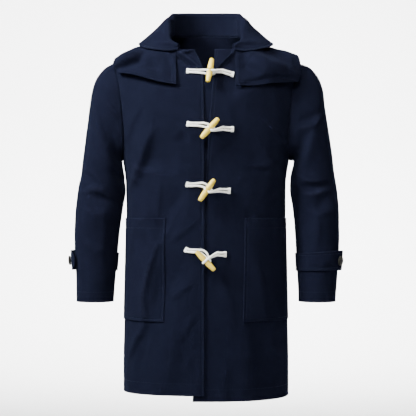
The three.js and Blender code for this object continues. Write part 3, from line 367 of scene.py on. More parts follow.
class BodyForm:
    """The form that the coat is filled out to: level rings between a front and a back."""

    def __init__(self) -> None:
        """Makes the rings' curves from their table."""
        self.half: Curve = BODY_RINGS.curve("z", "half")
        self.depth = {Face.FRONT: BODY_RINGS.curve("z", "front"), Face.BACK: BODY_RINGS.curve("z", "back")}
        self.armhole = {Face.FRONT: ARMHOLE.curve("z", "front"), Face.BACK: ARMHOLE.curve("z", "back")}

    def surface(self, face: Face, x: Array, z: Array, lift: Array | float = 0.0) -> Pair:
        """The body's cloth at places of the front or back view.

        Args:
            face: the half of the body.
            x: how far to the right each place is, in millimetres.
            z: how high it is.
            lift: how far it lies off the cloth.

        Returns:
            The points and the ways out of the cloth there.
        """
        x, z = np.broadcast_arrays(np.asarray(x, float), np.asarray(z, float))
        sign = face.value
        a = self.half(z)
        b = self.depth[face](z)
        share = within(np.abs(x) / a)
        y = b * (1 - share**ROUNDNESS) ** (1 / ROUNDNESS)
        slope_a = self.half(z + 0.5) - self.half(z - 0.5)
        slope_b = self.depth[face](z + 0.5) - self.depth[face](z - 0.5)
        out_x = share ** (ROUNDNESS - 1) / a * np.sign(x)
        out_y = sign * (y / b) ** (ROUNDNESS - 1) / b
        out_z = -(share**ROUNDNESS) * slope_a / a - (y / b) ** ROUNDNESS * slope_b / b
        out = unit(np.stack([out_x, out_y, out_z], -1))
        seam_side = np.clip((1 - share) * 4, 0.15, 1)
        big, small = (FRONT_FOLDS, FRONT_CREASES) if face is Face.FRONT else (BACK_FOLDS, BACK_CREASES)
        fold = crease_height(big, x, z) * seam_side
        fold = fold + crease_height(small, x, z) * np.clip((1 - share) * 8, 0.25, 1)
        fold = fold + unevenness(x, z, 1.3 if face is Face.FRONT else 4.1) * seam_side
        points = np.stack([x, sign * (y + SEAM_GAP / 2), z], -1)
        return points + out * (fold + lift)[..., None], out

    def off(self, towards: Array, lift: Array) -> Array:
        """Points some way outside the body along straight lines out of the middle of the chest.

        Args:
            towards: points that the lines go towards.
            lift: how far past the body's surface each one stops.

        Returns:
            The points.
        """
        way = unit(towards - CHEST_MIDDLE)
        low = np.full(way.shape[:-1], 20.0)
        high = np.full(way.shape[:-1], 400.0)
        for _ in range(30):
            reach = (low + high) / 2
            p = CHEST_MIDDLE + way * reach[..., None]
            b = np.where(p[..., 1] < 0, self.depth[Face.FRONT](p[..., 2]), self.depth[Face.BACK](p[..., 2]))
            share = np.abs(p[..., 0] / self.half(p[..., 2])) ** ROUNDNESS + np.abs(p[..., 1] / b) ** ROUNDNESS
            low = np.where(share < 1, reach, low)
            high = np.where(share < 1, high, reach)
        return CHEST_MIDDLE + way * (low + lift)[..., None]


def grid_normals(grid: Array, round_way: bool, sign: float) -> Array:
    """The ways out of a grid of points.

    Args:
        grid: rows of points.
        round_way: whether each row closes on itself.
        sign: picks the side that counts as out.

    Returns:
        A unit vector for each point.
    """
    down = np.gradient(grid, axis=0)
    if round_way:
        across = (np.roll(grid, -1, axis=1) - np.roll(grid, 1, axis=1)) / 2
    else:
        across = np.gradient(grid, axis=1)
    return unit(np.cross(down, across) * sign)


def spaced(length: float, step: float, edges: Sequence[float]) -> Array:
    """Shares of a length, evenly spaced but for a few closer ones at each end.

    Args:
        length: the length in millimetres.
        step: the even spacing.
        edges: the distances of the closer places from each end.

    Returns:
        Rising shares from 0 to 1.
    """
    inner = np.linspace(max(edges), length - max(edges), max(2, int(round((length - 2 * max(edges)) / step)) + 1))
    places = np.concatenate([[0], edges, inner, length - np.array(edges), [length]])
    return np.unique(np.round(places, 4)) / length


def at_places(places: Array, along: Array, values: Array) -> Array:
    """Rows of three values at places along a path, from those at the path's own points."""
    return np.stack([np.interp(places, along, values[:, k]) for k in range(3)], 1)


def ring_faces(rows: int, columns: int, ends: bool = True) -> Faces:
    """The faces between rings of points that follow one another.

    Args:
        rows: how many rings there are.
        columns: how many points a ring has.
        ends: whether the first and the last ring are filled in.

    Returns:
        The faces, as tuples of point numbers.
    """
    faces: Faces = []
    for low in range(0, (rows - 1) * columns, columns):
        high = low + columns
        faces += [(low + c, low + (c + 1) % columns, high + (c + 1) % columns, high + c) for c in range(columns)]
    if ends:
        faces += [tuple(range(columns - 1, -1, -1)), tuple(range((rows - 1) * columns, rows * columns))]
    return faces


def new_object(name: str, points: Array, faces: Faces, material: Material) -> Object:
    """A smooth mesh object from points in millimetres.

    Args:
        name: the piece's name.
        points: its points.
        faces: its faces, as tuples of point numbers.
        material: its finish.

    Returns:
        The object, linked to the scene.
    """
    mesh = bpy.data.meshes.new(name)
    mesh.from_pydata((np.asarray(points) * MM).tolist(), [], faces)
    mesh.validate()
    mesh.polygons.foreach_set("use_smooth", [True] * len(mesh.polygons))
    mesh.materials.append(material)
    mesh.update()
    made = bpy.data.objects.new(name, mesh)
    bpy.context.scene.collection.objects.link(made)
    return made


def shell(name: str, outer: Array, out: Array, thick: float, material: Material, round_way: bool = False) -> Object:
    """A thin shell of cloth under a grid of points, with rounded edges.

    Args:
        name: the piece's name.
        outer: the grid of the outer face, in millimetres.
        out: the way out of the cloth at each point.
        thick: the cloth's thickness.
        material: its finish.
        round_way: whether the grid's rows close on themselves.

    Returns:
        The shell as an object.
    """
    rows, columns = outer.shape[:2]
    inner = outer - out * thick
    middle = (outer + inner) / 2
    bulge = middle.copy()
    down = unit(np.gradient(outer, axis=0)) * thick * EDGE_BULGE
    bulge[0] -= down[0]
    bulge[-1] += down[-1]
    if not round_way:
        across = unit(np.gradient(outer, axis=1)) * thick * EDGE_BULGE
        bulge[:, 0] -= across[:, 0]
        bulge[:, -1] += across[:, -1]
    number = np.arange(rows * columns).reshape(rows, columns)
    last = columns if round_way else columns - 1
    c0 = np.arange(last)
    c1 = (c0 + 1) % columns
    top = number[:-1][:, c0], number[1:][:, c0], number[1:][:, c1], number[:-1][:, c1]
    outer_faces = np.stack([part.ravel() for part in top], 1)
    inner_faces = outer_faces[:, ::-1] + rows * columns
    if round_way:
        loops = [number[0], number[-1][::-1]]
    else:
        loops = [np.concatenate([number[0, :-1], number[:-1, -1], number[-1, :0:-1], number[:0:-1, 0]])]
    base = 2 * rows * columns
    edge_points: list[Array] = []
    edge_faces: list[Array] = []
    for loop in loops:
        flat = bulge.reshape(-1, 3)[loop]
        count = len(loop)
        own = base + np.arange(count)
        ahead = np.roll(own, -1)
        beside = np.roll(loop, -1)
        edge_faces.append(np.stack([loop, beside, ahead, own], 1))
        edge_faces.append(np.stack([own, ahead, beside + rows * columns, loop + rows * columns], 1))
        edge_points.append(flat)
        base += count
    points = np.concatenate([outer.reshape(-1, 3), inner.reshape(-1, 3), *edge_points])
    faces = np.concatenate([outer_faces, inner_faces, *edge_faces])
    a, b, c = (points[faces[:, k]] for k in (0, 1, 2))
    d = points[faces[:, 3]]
    volume = (np.einsum("ij,ij->i", a, np.cross(b, c)) + np.einsum("ij,ij->i", a, np.cross(c, d))).sum()
    if volume < 0:
        faces = faces[:, ::-1]
    return new_object(name, points, [tuple(face) for face in faces.tolist()], material)


def stitches(name: str, runs: Sequence[Pair], material: Material, pitch: float = 4.2) -> Object:
    """Rows of sewn stitches, each a short rounded bead of thread that dips into the cloth at its ends.

    Args:
        name: the piece's name.
        runs: each run's points and the ways out of the cloth there, in millimetres.
        material: the thread's finish.
        pitch: from one stitch to the next.

    Returns:
        All the stitches as one object.
    """
    ring = np.array([[0.0, 1.0], [0.87, 0.35], [0.5, -0.5], [-0.5, -0.5], [-0.87, 0.35]]) * THREAD_HALF
    shape = ((-0.5, 0.25, -0.2), (-0.28, 0.9, 0.06), (0.28, 0.9, 0.06), (0.5, 0.25, -0.2))
    bead = ring_faces(len(shape), len(ring))
    beads: list[Mesh] = []
    for line, out in runs:
        along = distances(line)
        places = np.arange(pitch / 2, along[-1], pitch)
        if len(places) < 2:
            continue
        at = at_places(places, along, line)
        up = unit(at_places(places, along, out))
        way = unit(np.gradient(at, axis=0))
        for p, w, u, s in zip(at, way, up, np.cross(way, up)):
            rings = [
                p + w * share * pitch * STITCH_SHARE + u * rise + (s * ring[:, :1] + u * ring[:, 1:]) * size
                for share, size, rise in shape
            ]
            beads.append((np.concatenate(rings), bead))
    return new_object(name, *joined(beads), material)


def run_lengths(grid: Array, axis: int) -> Pair:
    """How far each point of a grid is from the two ends of its row or column.

    Args:
        grid: rows of points.
        axis: 0 to measure down the columns, 1 to measure along the rows.

    Returns:
        The distances from the first end and from the last.
    """
    steps = np.linalg.norm(np.diff(grid, axis=axis), axis=-1)
    pad = [(0, 0), (0, 0)]
    pad[axis] = (1, 0)
    along = np.cumsum(np.pad(steps, pad), axis=axis)
    whole = along[-1:] if axis == 0 else along[:, -1:]
    return along, whole - along


def turned_edge(away: Array, stitch: float = 6.0) -> Array:
    """The swell of a turned edge, with the dip where its stitching holds it down."""
    edge = 0.55 * np.exp(-((away / (stitch * 0.75)) ** 4))
    return edge - 0.55 * swell(away - stitch, 1.3) + 0.2 * swell(away - stitch - 3.5, 2.5)


def seam_edge(away: Array) -> Array:
    """The dip of a plain seam and the soft bulk of its allowances beside it."""
    return 0.45 * swell(away - 6, 4) - 0.7 * swell(away, 1.8)


def stitched_line(away: Array, stitch: float) -> Array:
    """The dip along a row of stitching in the middle of a panel."""
    return -0.5 * swell(away - stitch, 1.6) + 0.2 * swell(away - stitch - 4, 2.5)


def hem_edge(away: Array, stitch: float) -> Array:
    """The roll of a folded hem and the dip of its stitching."""
    return stitched_line(away, stitch) + 0.4 * swell(away, 3)


def closed(grid: Array, round_way: bool) -> Array:
    """A grid with its first column again after its last one, where its rows close on themselves."""
    return np.concatenate([grid, grid[:, :1]], axis=1) if round_way else grid


def fasten(piece: Object, slot: str, *nodes: str) -> None:
    """Puts a piece on the coat, in place of its solids where it has any, and reports it.

    Args:
        piece: the piece.
        slot: the word for its material in the log line.
        nodes: the solids that it stands for.
    """
    if nodes:
        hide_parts(*nodes)
    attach(piece, "root")
    log.info("%s: %d faces of %s", piece.name, len(piece.data.polygons), slot)


def declare(piece: Object, node: str) -> None:
    """Puts a cloth piece on the coat in place of its solid, and logs it.

    Args:
        piece: the piece.
        node: the solid that it stands for.
    """
    fasten(piece, "cloth", node)


@dataclass
class Tailoring:
    """The cloth and the thread, and what is made with them."""

    cloth: Material
    thread: Material

    def piece(
        self, word: str, grid: Array, out: Array, thick: float = CLOTH, round_way: bool = False, node: str = ""
    ) -> None:
        """Makes a piece of cloth and puts it on the coat.

        Args:
            word: what the piece is.
            grid: its outer face.
            out: the way out of the cloth at each point.
            thick: its thickness.
            round_way: whether the grid's rows close on themselves.
            node: the solid that it stands for, if that has another name.
        """
        made = shell(f"{word}_cloth", grid, out, thick, self.cloth, round_way)
        declare(made, node or word)

    def sew(self, word: str, runs: Sequence[Array]) -> None:
        """Makes a piece's stitching, along runs of points and the ways out there."""
        fasten(stitches(f"{word}_stitching", runs, self.thread), "cloth")


@dataclass
class Plan:
    """Where the body's panels lie in the view of their face."""

    form: BodyForm
    step: float = 5.0
    edges: tuple[float, ...] = (1.2, 2.6, 4.0, 5.0, 6.0, 7.0, 8.4, 10.5, 13.5)

    def turns(self, first: float = 0.0, last: float = 90.0) -> Array:
        """Column places as turns from the middle to the side seam, evenly spaced over the waist's ring.

        Args:
            first: the turn at the first column.
            last: the turn at the last one.

        Returns:
            Rising turns in degrees.
        """
        fine = np.linspace(first, last, 1500)
        share = np.sin(np.radians(fine)) ** (2 / ROUNDNESS)
        deep = np.cos(np.radians(fine)) ** (2 / ROUNDNESS)
        along = distances(np.stack([WAIST_HALF * share, WAIST_DEPTH * deep], 1))
        return np.interp(spaced(along[-1], self.step, self.edges) * along[-1], along, fine)

    def half(self, face: Face, edge: Curve, top: Callable[[Array], Pair], hem: float) -> Pair:
        """Half a panel: how far out and how high each of its points is.

        Args:
            face: the half of the body that it belongs to.
            edge: how far out its front edge or middle is at each height.
            top: gives the neckline's x and z at shares of its way.
            hem: the height of its hem.

        Returns:
            The two measures, as grids.
        """
        turn = self.turns()
        number = np.arange(float(len(COLUMN_TURNS)))
        column = np.interp(turn, COLUMN_TURNS, number)
        column[nearest(column, NECK_COLUMNS)] = NECK_COLUMNS
        turn = np.interp(column, number, COLUMN_TURNS)
        last = number[-1]
        across = np.sin(np.radians(turn)) ** (2 / ROUNDNESS)
        neck_x, neck_z = top(within(column / NECK_COLUMNS))
        shoulder_z = mix(NECK_SIDE_Z, SHOULDER_Z, within((column - NECK_COLUMNS) / (last - NECK_COLUMNS)))
        top_x = np.where(column <= NECK_COLUMNS, neck_x, self.form.half(shoulder_z))
        top_z = np.where(column <= NECK_COLUMNS, neck_z, shoulder_z)
        chest = mix(edge(ARMPIT_Z), self.form.half(ARMPIT_Z), across)
        share = spaced(250, self.step, self.edges[:-1])[:, None]
        seam_z = mix(SHOULDER_Z, ARMPIT_Z, share)
        edge_z = mix(top_z[0], ARMPIT_Z, share)
        seam_shift = self.form.armhole[face](seam_z) - mix(top_x[-1], chest[-1], share)
        edge_shift = edge(edge_z) - mix(top_x[0], chest[0], share)
        outward = column / last
        yoke_x = mix(top_x, chest, share) + seam_shift * outward**3 + edge_shift * (1 - outward) ** 3
        yoke_z = mix(top_z, ARMPIT_Z, share)
        z = mix(ARMPIT_Z, hem, spaced(ARMPIT_Z - hem, self.step, self.edges))[1:, None]
        skirt_x = mix(edge(z), self.form.half(z), across)
        return np.concatenate([yoke_x, skirt_x]), np.concatenate([yoke_z, np.broadcast_to(z, skirt_x.shape)])


# Beside the neck the right front's corner rolls back, and the left one laps over itself.
NECK_CREASES = {
    Side.RIGHT: creases(
        (4.2, 3.0, -68, -57, -48, -57, -28, -52), (4.0, -2.0, -66, -67, -52, -64, -34, -58),
        (4, -10.0, -72, -62, -46, -80, -22, -99), (5, 3.4, -62, -62, -44, -72, -24, -88),
        (6, 3.4, -64, -80, -44, -93, -26, -108),
    ),
    Side.LEFT: creases(
        (5, 5.0, 66, -60, 46, -80, 26, -100, 22, -112), (8, -9.0, 60, -54, 38, -74, 21, -96),
        (5, 2.4, 21, -52, 20, -92),
    ),
}


@dataclass
class Fronts:
    """The two fronts, the strip under their opening and the patch pockets."""

    plan: Plan
    tailor: Tailoring
    stitch: float = 6.0
    hem_stitch: float = 28.0
    pocket_hem: float = 24.0
    side_drop: float = 6.0
    top_edges: dict[Side, Array] = field(default_factory=dict)

    @staticmethod
    def lift(side: Side, x: Array, z: Array) -> Array:
        """How far the right front stands up where it lies over the left one.

        Args:
            side: the front's side.
            x: how far to the right each place is.
            z: how high it is.

        Returns:
            The heights.
        """
        if side is Side.LEFT:
            return np.zeros(np.broadcast(x, z).shape)
        across = within((x + OVERLAP_WIDTH) / 50)
        down = within((OVERLAP_TOP_Z - z) / 150)
        return OVERLAP_LIFT * across * down

    def on(self, side: Side, x: Array, z: Array, lift: Array | float = 0.0) -> Pair:
        """Points on one front and the ways out of its cloth."""
        return self.plan.form.surface(Face.FRONT, x, z, self.lift(side, x, z) + lift)

    def panel(self, side: Side) -> None:
        """Makes one front with its turned edges and its stitching.

        Args:
            side: its side.
        """
        sign = side.value
        edge = FRONT_EDGES[side].curve("z", "out")
        neck_x, neck_z = NECKLINE.curve("way", "x"), NECKLINE.curve("way", "z")
        ways = np.linspace(0, 0.9, 4000)
        start = float(np.interp(edge(NECK_FRONT_Z), neck_x(ways), ways))

        def top(share: Array) -> Pair:
            """The front's neckline from its corner to the shoulder seam."""
            way = mix(start, 1, share)
            return neck_x(way), neck_z(way)

        out_x, z = self.plan.half(Face.FRONT, edge, top, HEM_Z[side])
        if side is Side.RIGHT:
            reach = within((ARMPIT_Z - z) / (ARMPIT_Z - HEM_Z[side])) ** 3
            z = z - self.side_drop * reach * np.linspace(0, 1, z.shape[1]) ** 2
        x = sign * out_x
        flat, _ = self.on(side, x, z)
        from_edge, from_side = run_lengths(flat, 1)
        from_top, from_hem = run_lengths(flat, 0)
        lift = turned_edge(from_edge, self.stitch) + hem_edge(from_hem, self.hem_stitch)
        lift = lift + 0.5 * seam_edge(from_side) + 0.5 * seam_edge(from_top)
        lift = lift + crease_height(NECK_CREASES[side], x, z)
        grid, out = self.on(side, x, z, lift)
        self.top_edges[side] = grid[0] * side.mirror
        self.tailor.piece(f"front_{side.word}", grid, out)
        column = nearest(from_edge[len(grid) // 2], self.stitch)
        row = nearest(from_hem[:, 20], self.hem_stitch)
        both = np.stack([grid, out])
        runs = [both[:, 2:-2, column], both[:, row, column:-1]]
        if side is Side.RIGHT:
            second = nearest(from_edge[len(grid) // 2], 2.0)
            runs.append(both[:, 2:-2, second])
        self.tailor.sew(f"front_{side.word}", runs)

    def underlap(self) -> None:
        """Makes the strip that is sewn behind the left front's edge."""
        under = UNDERLAP_EDGE.curve("z", "out")
        edge = FRONT_EDGES[Side.LEFT].curve("z", "out")
        z = mix(-49.5, HEM_Z[Side.LEFT] + 14, spaced(834, 6, (2, 5)))[:, None]
        start = under(z)
        share = np.array([0, 0.05, 0.12, 0.25, 0.4, 0.6, 0.8, 0.92, 1.0])
        x = mix(start, np.maximum(edge(z), start) + 14, share)
        inside = -(CLOTH + 1.2)
        grid, out = self.plan.form.surface(Face.FRONT, x, np.broadcast_to(z, x.shape), inside)
        self.tailor.piece("underlap", grid, out, UNDERLAP_CLOTH, node="front_underlap")
        self.tailor.sew("underlap", [np.stack([grid, out])[:, 2:-2, 2]])

    def pocket(self, side: Side) -> None:
        """Makes one patch pocket, whose mouth stands off a little.

        Args:
            side: its side.
        """
        turn = self.plan.turns(*POCKET_TURNS)
        across = np.sin(np.radians(turn)) ** (2 / ROUNDNESS)
        depth = POCKET_TOP_Z - POCKET_BOTTOM_Z
        down = spaced(depth, self.plan.step, self.plan.edges)
        z = mix(POCKET_TOP_Z, POCKET_BOTTOM_Z, down)[:, None]
        out_x = mix(FRONT_EDGES[side].curve("z", "out")(z), self.plan.form.half(z), across)
        x = side.value * out_x
        z = np.broadcast_to(z, x.shape)
        flat, _ = self.on(side, x, z, SEAM_GAP + CLOTH)
        from_left, from_right = run_lengths(flat, 1)
        from_top, from_bottom = run_lengths(flat, 0)
        side_away = np.minimum(from_left, from_right)
        lift = turned_edge(np.minimum(side_away, from_bottom), self.stitch) + stitched_line(from_top, self.pocket_hem)
        middle = np.sin(np.pi * within(from_left / (from_left + from_right)))
        lift = lift + 3.2 * middle**0.8 * swell(from_top, 46) + 1.3 * middle**0.5 + 0.5 * swell(from_top, 3)
        grid, out = self.on(side, x, z, SEAM_GAP + CLOTH + lift)
        self.tailor.piece(f"pocket_{side.word}", grid, out)
        inset = nearest(from_left[30], self.stitch)
        far = nearest(from_right[30], self.stitch)
        hem = nearest(from_top[:, 20], self.pocket_hem)
        low = nearest(from_bottom[:, 20], self.stitch)
        both = np.stack([grid, out])
        down = [both[:, 1 : low + 1, column] for column in (inset, far)]
        self.tailor.sew(f"pocket_{side.word}", down + [both[:, row, inset : far + 1] for row in (low, hem)])

    def build(self) -> None:
        """Makes all the pieces of the front."""
        for side in Side:
            self.panel(side)
            self.pocket(side)
        self.underlap()


@dataclass
class Back:
    """The back panel, in one piece."""

    plan: Plan
    tailor: Tailoring
    hem_stitch: float = 28.0
    allowance: float = 7.0
    top_edge: Array = field(default_factory=lambda: np.zeros((0, 3)))

    def tucked(self, grid: Array, out: Array) -> Pair:
        """Adds the seam allowance, which lies behind the side edges of the fronts.

        Args:
            grid: the outer face of the back.
            out: the way out of the cloth at each point.

        Returns:
            Both, with two more columns at each side.
        """
        ramp = np.clip((ARMPIT_Z - grid[:, -1, 2]) / 20, 0.05, 1)[:, None]
        for _ in range(2):
            grid, out = grid[:, ::-1], out[:, ::-1]
            edge, way = grid[:, -1], out[:, -1]
            for depth, reach in ((CLOTH + 0.8, 0.6), (CLOTH + 1.0, self.allowance)):
                moved = edge - ramp * (way * depth + np.array([0, reach, 0]))
                grid = np.concatenate([grid, moved[:, None]], axis=1)
                out = np.concatenate([out, way[:, None]], axis=1)
        return grid, out

    def build(self) -> None:
        """Makes the back with its hem stitching."""

        def top(share: Array) -> Pair:
            """The back neckline from the middle to the shoulder seam."""
            turn = np.pi / 2 * share
            return NECK_SIDE_X * np.sin(turn), NECK_SIDE_Z * (1 - np.cos(turn))

        x, z = self.plan.half(Face.BACK, lambda height: np.zeros(np.shape(height)), top, BACK_HEM_Z)
        x = np.concatenate([-x[:, :0:-1], x], axis=1)
        z = np.concatenate([z[:, :0:-1], z], axis=1)
        form = self.plan.form
        flat, _ = form.surface(Face.BACK, x, z)
        from_left, from_right = run_lengths(flat, 1)
        from_top, from_hem = run_lengths(flat, 0)
        lift = 0.5 * seam_edge(np.minimum(from_left, from_right)) + hem_edge(from_hem, self.hem_stitch)
        lift = lift + 0.5 * seam_edge(from_top)
        grid, out = form.surface(Face.BACK, x, z, lift)
        middle = grid.shape[1] // 2
        keep = grid[0, middle:][grid[0, middle:, 0] < NECK_SIDE_X + 0.1]
        self.top_edge = keep[::-1]
        piece = shell("back_cloth", *self.tucked(grid, out), CLOTH, self.tailor.cloth)
        declare(piece, "back")
        row = nearest(from_hem[:, middle], self.hem_stitch)
        self.tailor.sew("back", [np.stack([grid, out])[:, row, 1:-1]])


@dataclass
class CuffButton:
    """The four-hole button on a cuff strap."""

    horn: Material
    thread: Material
    radius: float = 12.0
    height: float = 4.0
    shank: float = 1.7
    around: int = 48
    thread_half: float = 0.34
    thread_reach: float = 2.4
    thread_aside: float = 0.35

    def build(self, side: Side, seat: Array, out: Array) -> None:
        """Makes one button and the threads that hold it.

        Args:
            side: the wearer's side.
            seat: the middle of its place on the strap.
            out: the way out of the strap there.
        """
        top = self.height
        profile = (
            (0.01, -self.shank), (3, -self.shank), (3, 0), (self.radius - 1.4, 0), (self.radius - 0.5, 0.35),
            (self.radius, 1.1), (self.radius, top - 1.3), (self.radius - 0.35, top - 0.5),
            (self.radius - 1.1, top - 0.05),
            (self.radius - 2.0, top - 0.2), (self.radius - 2.8, top - 0.9), (self.radius - 4.0, top - 1.25),
            (3.5, top - 1.3), (0.01, top - 1.25),
        )
        across = unit(np.cross(out, np.array([0.0, 0.0, 1.0])))
        up = np.cross(across, out)
        turn = np.arange(self.around) * 2 * np.pi / self.around
        base = seat + out * (self.shank + SEAM_GAP)
        grid = np.stack([
            base + (across * np.cos(turn)[:, None] + up * np.sin(turn)[:, None]) * r + out * h for r, h in profile
        ])
        faces = ring_faces(*grid.shape[:2], ends=False)
        word = f"cuff_button_{side.word}"
        fasten(new_object(f"{word}_turned", grid.reshape(-1, 3), faces, self.horn), "button", word)
        parts = []
        for hand in (1, -1):
            for shift in (-self.thread_aside, self.thread_aside):
                share = np.linspace(-1, 1, 9)
                way = (across * hand + up) / math.sqrt(2)
                aside = np.cross(out, way)
                line = base + way * (share * self.thread_reach)[:, None] + aside * shift
                line = line + out * (top - 1.2 + 0.75 * (1 - share**4))[:, None]
                parts.append(tube(line, self.thread_half, 5))
        fasten(new_object(f"{word}_threads", *joined(parts), self.thread), "button")


# Sleeve creases in the front view, on each sleeve, and in the back view, the same on both but for their side
SLEEVE_CREASES = {
    Side.RIGHT: creases(
        (9, 3.0, -248, -180, -226, -198, -206, -214), (8, -3.6, -232, -346, -216, -360, -199, -378),
        (9, -3.4, -312, -350, -279, -366, -262, -380), (8, 4.2, -310, -400, -276, -388, -246, -393),
        (8, -4.0, -270, -408, -228, -422), (12, 2.4, -286, -250, -262, -300, -226, -336),
        (10, 2.2, -306, -436, -272, -450, -240, -446), (11, 1.8, -300, -520, -268, -540, -244, -536),
        (11, 2.0, -252, -440, -250, -500, -256, -560),
    ),
    Side.LEFT: creases(
        (9, -3.6, 290, -180, 280, -203, 260, -220, 220, -230), (9, 2.6, 286, -200, 264, -234, 228, -248),
        (8, -4.2, 228, -382, 264, -384, 310, -376), (8, 3.8, 240, -402, 270, -402, 308, -390),
        (8, 2.6, 222, -352, 244, -364, 262, -366), (11, -2.2, 244, -280, 226, -318, 216, -344),
        (10, 2.2, 316, -440, 282, -452, 250, -446), (10, 1.8, 312, -560, 282, -574, 258, -568),
        (11, 1.8, 270, -440, 274, -500, 266, -540),
    ),
}
SLEEVE_BACK_CREASES = creases(
    (9, 3.6, 300, -330, 264, -346, 222, -342), (8, -4.0, 314, -372, 272, -384, 228, -378),
    (8, 3.4, 316, -404, 280, -410, 240, -400), (11, 2.4, 230, -200, 262, -244, 290, -262),
    (11, 2.0, 262, -130, 238, -176, 226, -220), (10, 2.4, 308, -470, 276, -486, 246, -480),
    (12, 1.8, 284, -540, 290, -600, 284, -650), (9, -2.4, 222, -300, 244, -330, 268, -338),
)
SLEEVE_FOLDS = Table("way turn slope length width height", (
    (6.9, 70, 0.012, 55, 0.45, -5), (7.6, 95, -0.01, 60, 0.4, 4), (3.6, 60, 0.02, 50, 0.7, 4),
    (7.2, 262, 0.01, 55, 0.5, -5), (4.6, 285, -0.012, 60, 0.7, 4),
))


@dataclass
class Sleeve:
    """One sleeve, with its buttoned strap."""

    side: Side
    form: BodyForm
    tailor: Tailoring
    count: int = 80
    hem_stitch: float = 26.0
    grid: Array = field(default_factory=lambda: np.zeros((0, 0, 3)))
    out: Array = field(default_factory=lambda: np.zeros((0, 0, 3)))
    ways: Array = field(default_factory=lambda: np.zeros(0))

    def armhole(self) -> tuple[Array, Array, Array, Array]:
        """The seam that the sleeve starts from.

        Returns:
            Its points, the body's ways out there, and two turns for each point: the oval's own and the even one.
        """
        place = np.arange(self.count) * 2 * YOKE_ROWS / self.count
        row = np.where(place <= YOKE_ROWS, place, 2 * YOKE_ROWS - place)
        even = row / YOKE_ROWS
        share = 0.5 * even + 0.25 * (1 - np.cos(np.pi * even))
        z = mix(SHOULDER_Z, ARMPIT_Z, share)
        ahead = place <= YOKE_ROWS
        front = self.form.surface(Face.FRONT, self.form.armhole[Face.FRONT](z), z)
        back = self.form.surface(Face.BACK, self.form.armhole[Face.BACK](z), z)
        points = np.where(ahead[:, None], front[0], back[0])
        out = np.where(ahead[:, None], front[1], back[1])
        turn = np.degrees(np.arccos(np.clip(1 - 2 * share, -1, 1)))
        return points, out, np.where(ahead, turn, 360 - turn), 360 * np.arange(self.count) / self.count

    def folds(self, way: Array, turn: Array) -> Array:
        """The largest folds, which the solid has too.

        Args:
            way: the place along the sleeve.
            turn: the turn round it.

        Returns:
            Their heights.
        """
        total = np.zeros(np.shape(turn))
        for at_way, at_turn, slope, length, width, height in SLEEVE_FOLDS.rows:
            away = (turn - at_turn + 540) % 360 - 180
            along = way - at_way - slope * away
            total = total + height * swell(away, length) * swell(along, width)
        return total * within(way - 1)

    def surface(self) -> None:
        """Lays the sleeve's grid from the armhole to the cuff."""
        last_way = SLEEVE_STATIONS.rows[-1][0]
        seam_end = np.array([0, 0.03, 0.07, 0.12, 0.2, 0.3])
        cuff_end = last_way - np.array([0.42, 0.36, 0.3, 0.24, 0.16, 0.08, 0.03, 0])
        ways = np.concatenate([seam_end, np.linspace(0.4, last_way - 0.5, 108), cuff_end])
        station = {key: SLEEVE_STATIONS.curve("way", key)(ways)[:, None] for key in SLEEVE_STATIONS.columns.split()[1:]}
        shift = SLEEVE_SHIFT.curve("way", self.side.word)(ways)[:, None]
        zero = np.zeros_like(shift)
        outer = np.concatenate([station["outX"] + shift, station["midY"] + zero, station["outZ"]], 1)
        inner = np.concatenate([station["inX"] + shift, station["midY"] + zero, station["inZ"]], 1)
        middle = (outer + inner) / 2
        reach = outer - middle
        along = unit(np.stack([reach[:, 2], np.zeros(len(ways)), -reach[:, 0]], 1))
        points, body_out, own_turn, even_turn = self.armhole()
        off = points - middle[0]
        deep0 = np.where(off[:, 1] < 0, station["front"][0], station["back"][0])
        own_reach = off @ reach[0] / (reach[0] @ reach[0])
        own_deep = -off[:, 1] / deep0
        own_along = off @ along[0]
        ease = within(ways / 3)[:, None]
        settled = ease * ease * (3 - 2 * ease)
        turn = mix(own_turn, even_turn, settled)
        across = mix(own_reach, np.cos(np.radians(turn)), settled)
        sideways = mix(own_deep, np.sin(np.radians(turn)), settled)
        deep = np.where(sideways > 0, station["front"], station["back"])
        grid = middle[:, None] + reach[:, None] * across[..., None]
        grid += along[:, None] * (own_along * (1 - settled))[..., None]
        grid[..., 1] -= sideways * deep
        normal = grid_normals(grid, True, -1)
        seam_way = unit(np.roll(points, -1, axis=0) - np.roll(points, 1, axis=0))
        past = unit(np.cross(body_out, seam_way))
        fold = np.arctan2(-(normal[0] * past).sum(1), (normal[0] * body_out).sum(1))
        bend = (np.where(fold < -np.pi / 2, fold + 2 * np.pi, fold) / 2)[:, None]
        grid[0] += (past * np.cos(bend) + body_out * np.sin(bend)) * (SEAM_GAP + 0.1)
        mitre = body_out * np.cos(bend) - past * np.sin(bend)
        way = ways[:, None]
        lift = self.folds(way, turn)
        own = SLEEVE_CREASES[self.side]
        mirror = self.side.mirror
        seen = grid * mirror
        ahead = within(0.35 - 1.6 * normal[..., 1])
        behind = within(0.35 + 1.6 * normal[..., 1])
        small = ahead * crease_height(own, seen[..., 0], seen[..., 2])
        moved = grid + np.array([3, 0, 6]) * self.side.value
        small = small + behind * crease_height(SLEEVE_BACK_CREASES, moved[..., 0], moved[..., 2])
        small = small + unevenness(turn * TURN_WIDTH, seen[..., 2], 2.2 + self.side.value) * 0.9
        from_seam, from_cuff = run_lengths(grid, 0)
        lift = lift + small * within(way - 0.35) * np.clip(from_cuff / 40, 0.3, 1)
        lift = lift + hem_edge(from_cuff, self.hem_stitch) + np.where(way > 0, 0.9 * swell(from_seam - 5, 4), 0)
        seam_turn = np.abs(turn % 360 - 180)
        lift = lift - 0.5 * swell(seam_turn * TURN_WIDTH, 2.2) * within(way - 1)
        grid = grid + normal * lift[..., None]
        self.grid = grid * mirror
        self.out = grid_normals(self.grid, True, -float(self.side.value))
        self.out[0] = mitre * mirror
        self.ways = ways

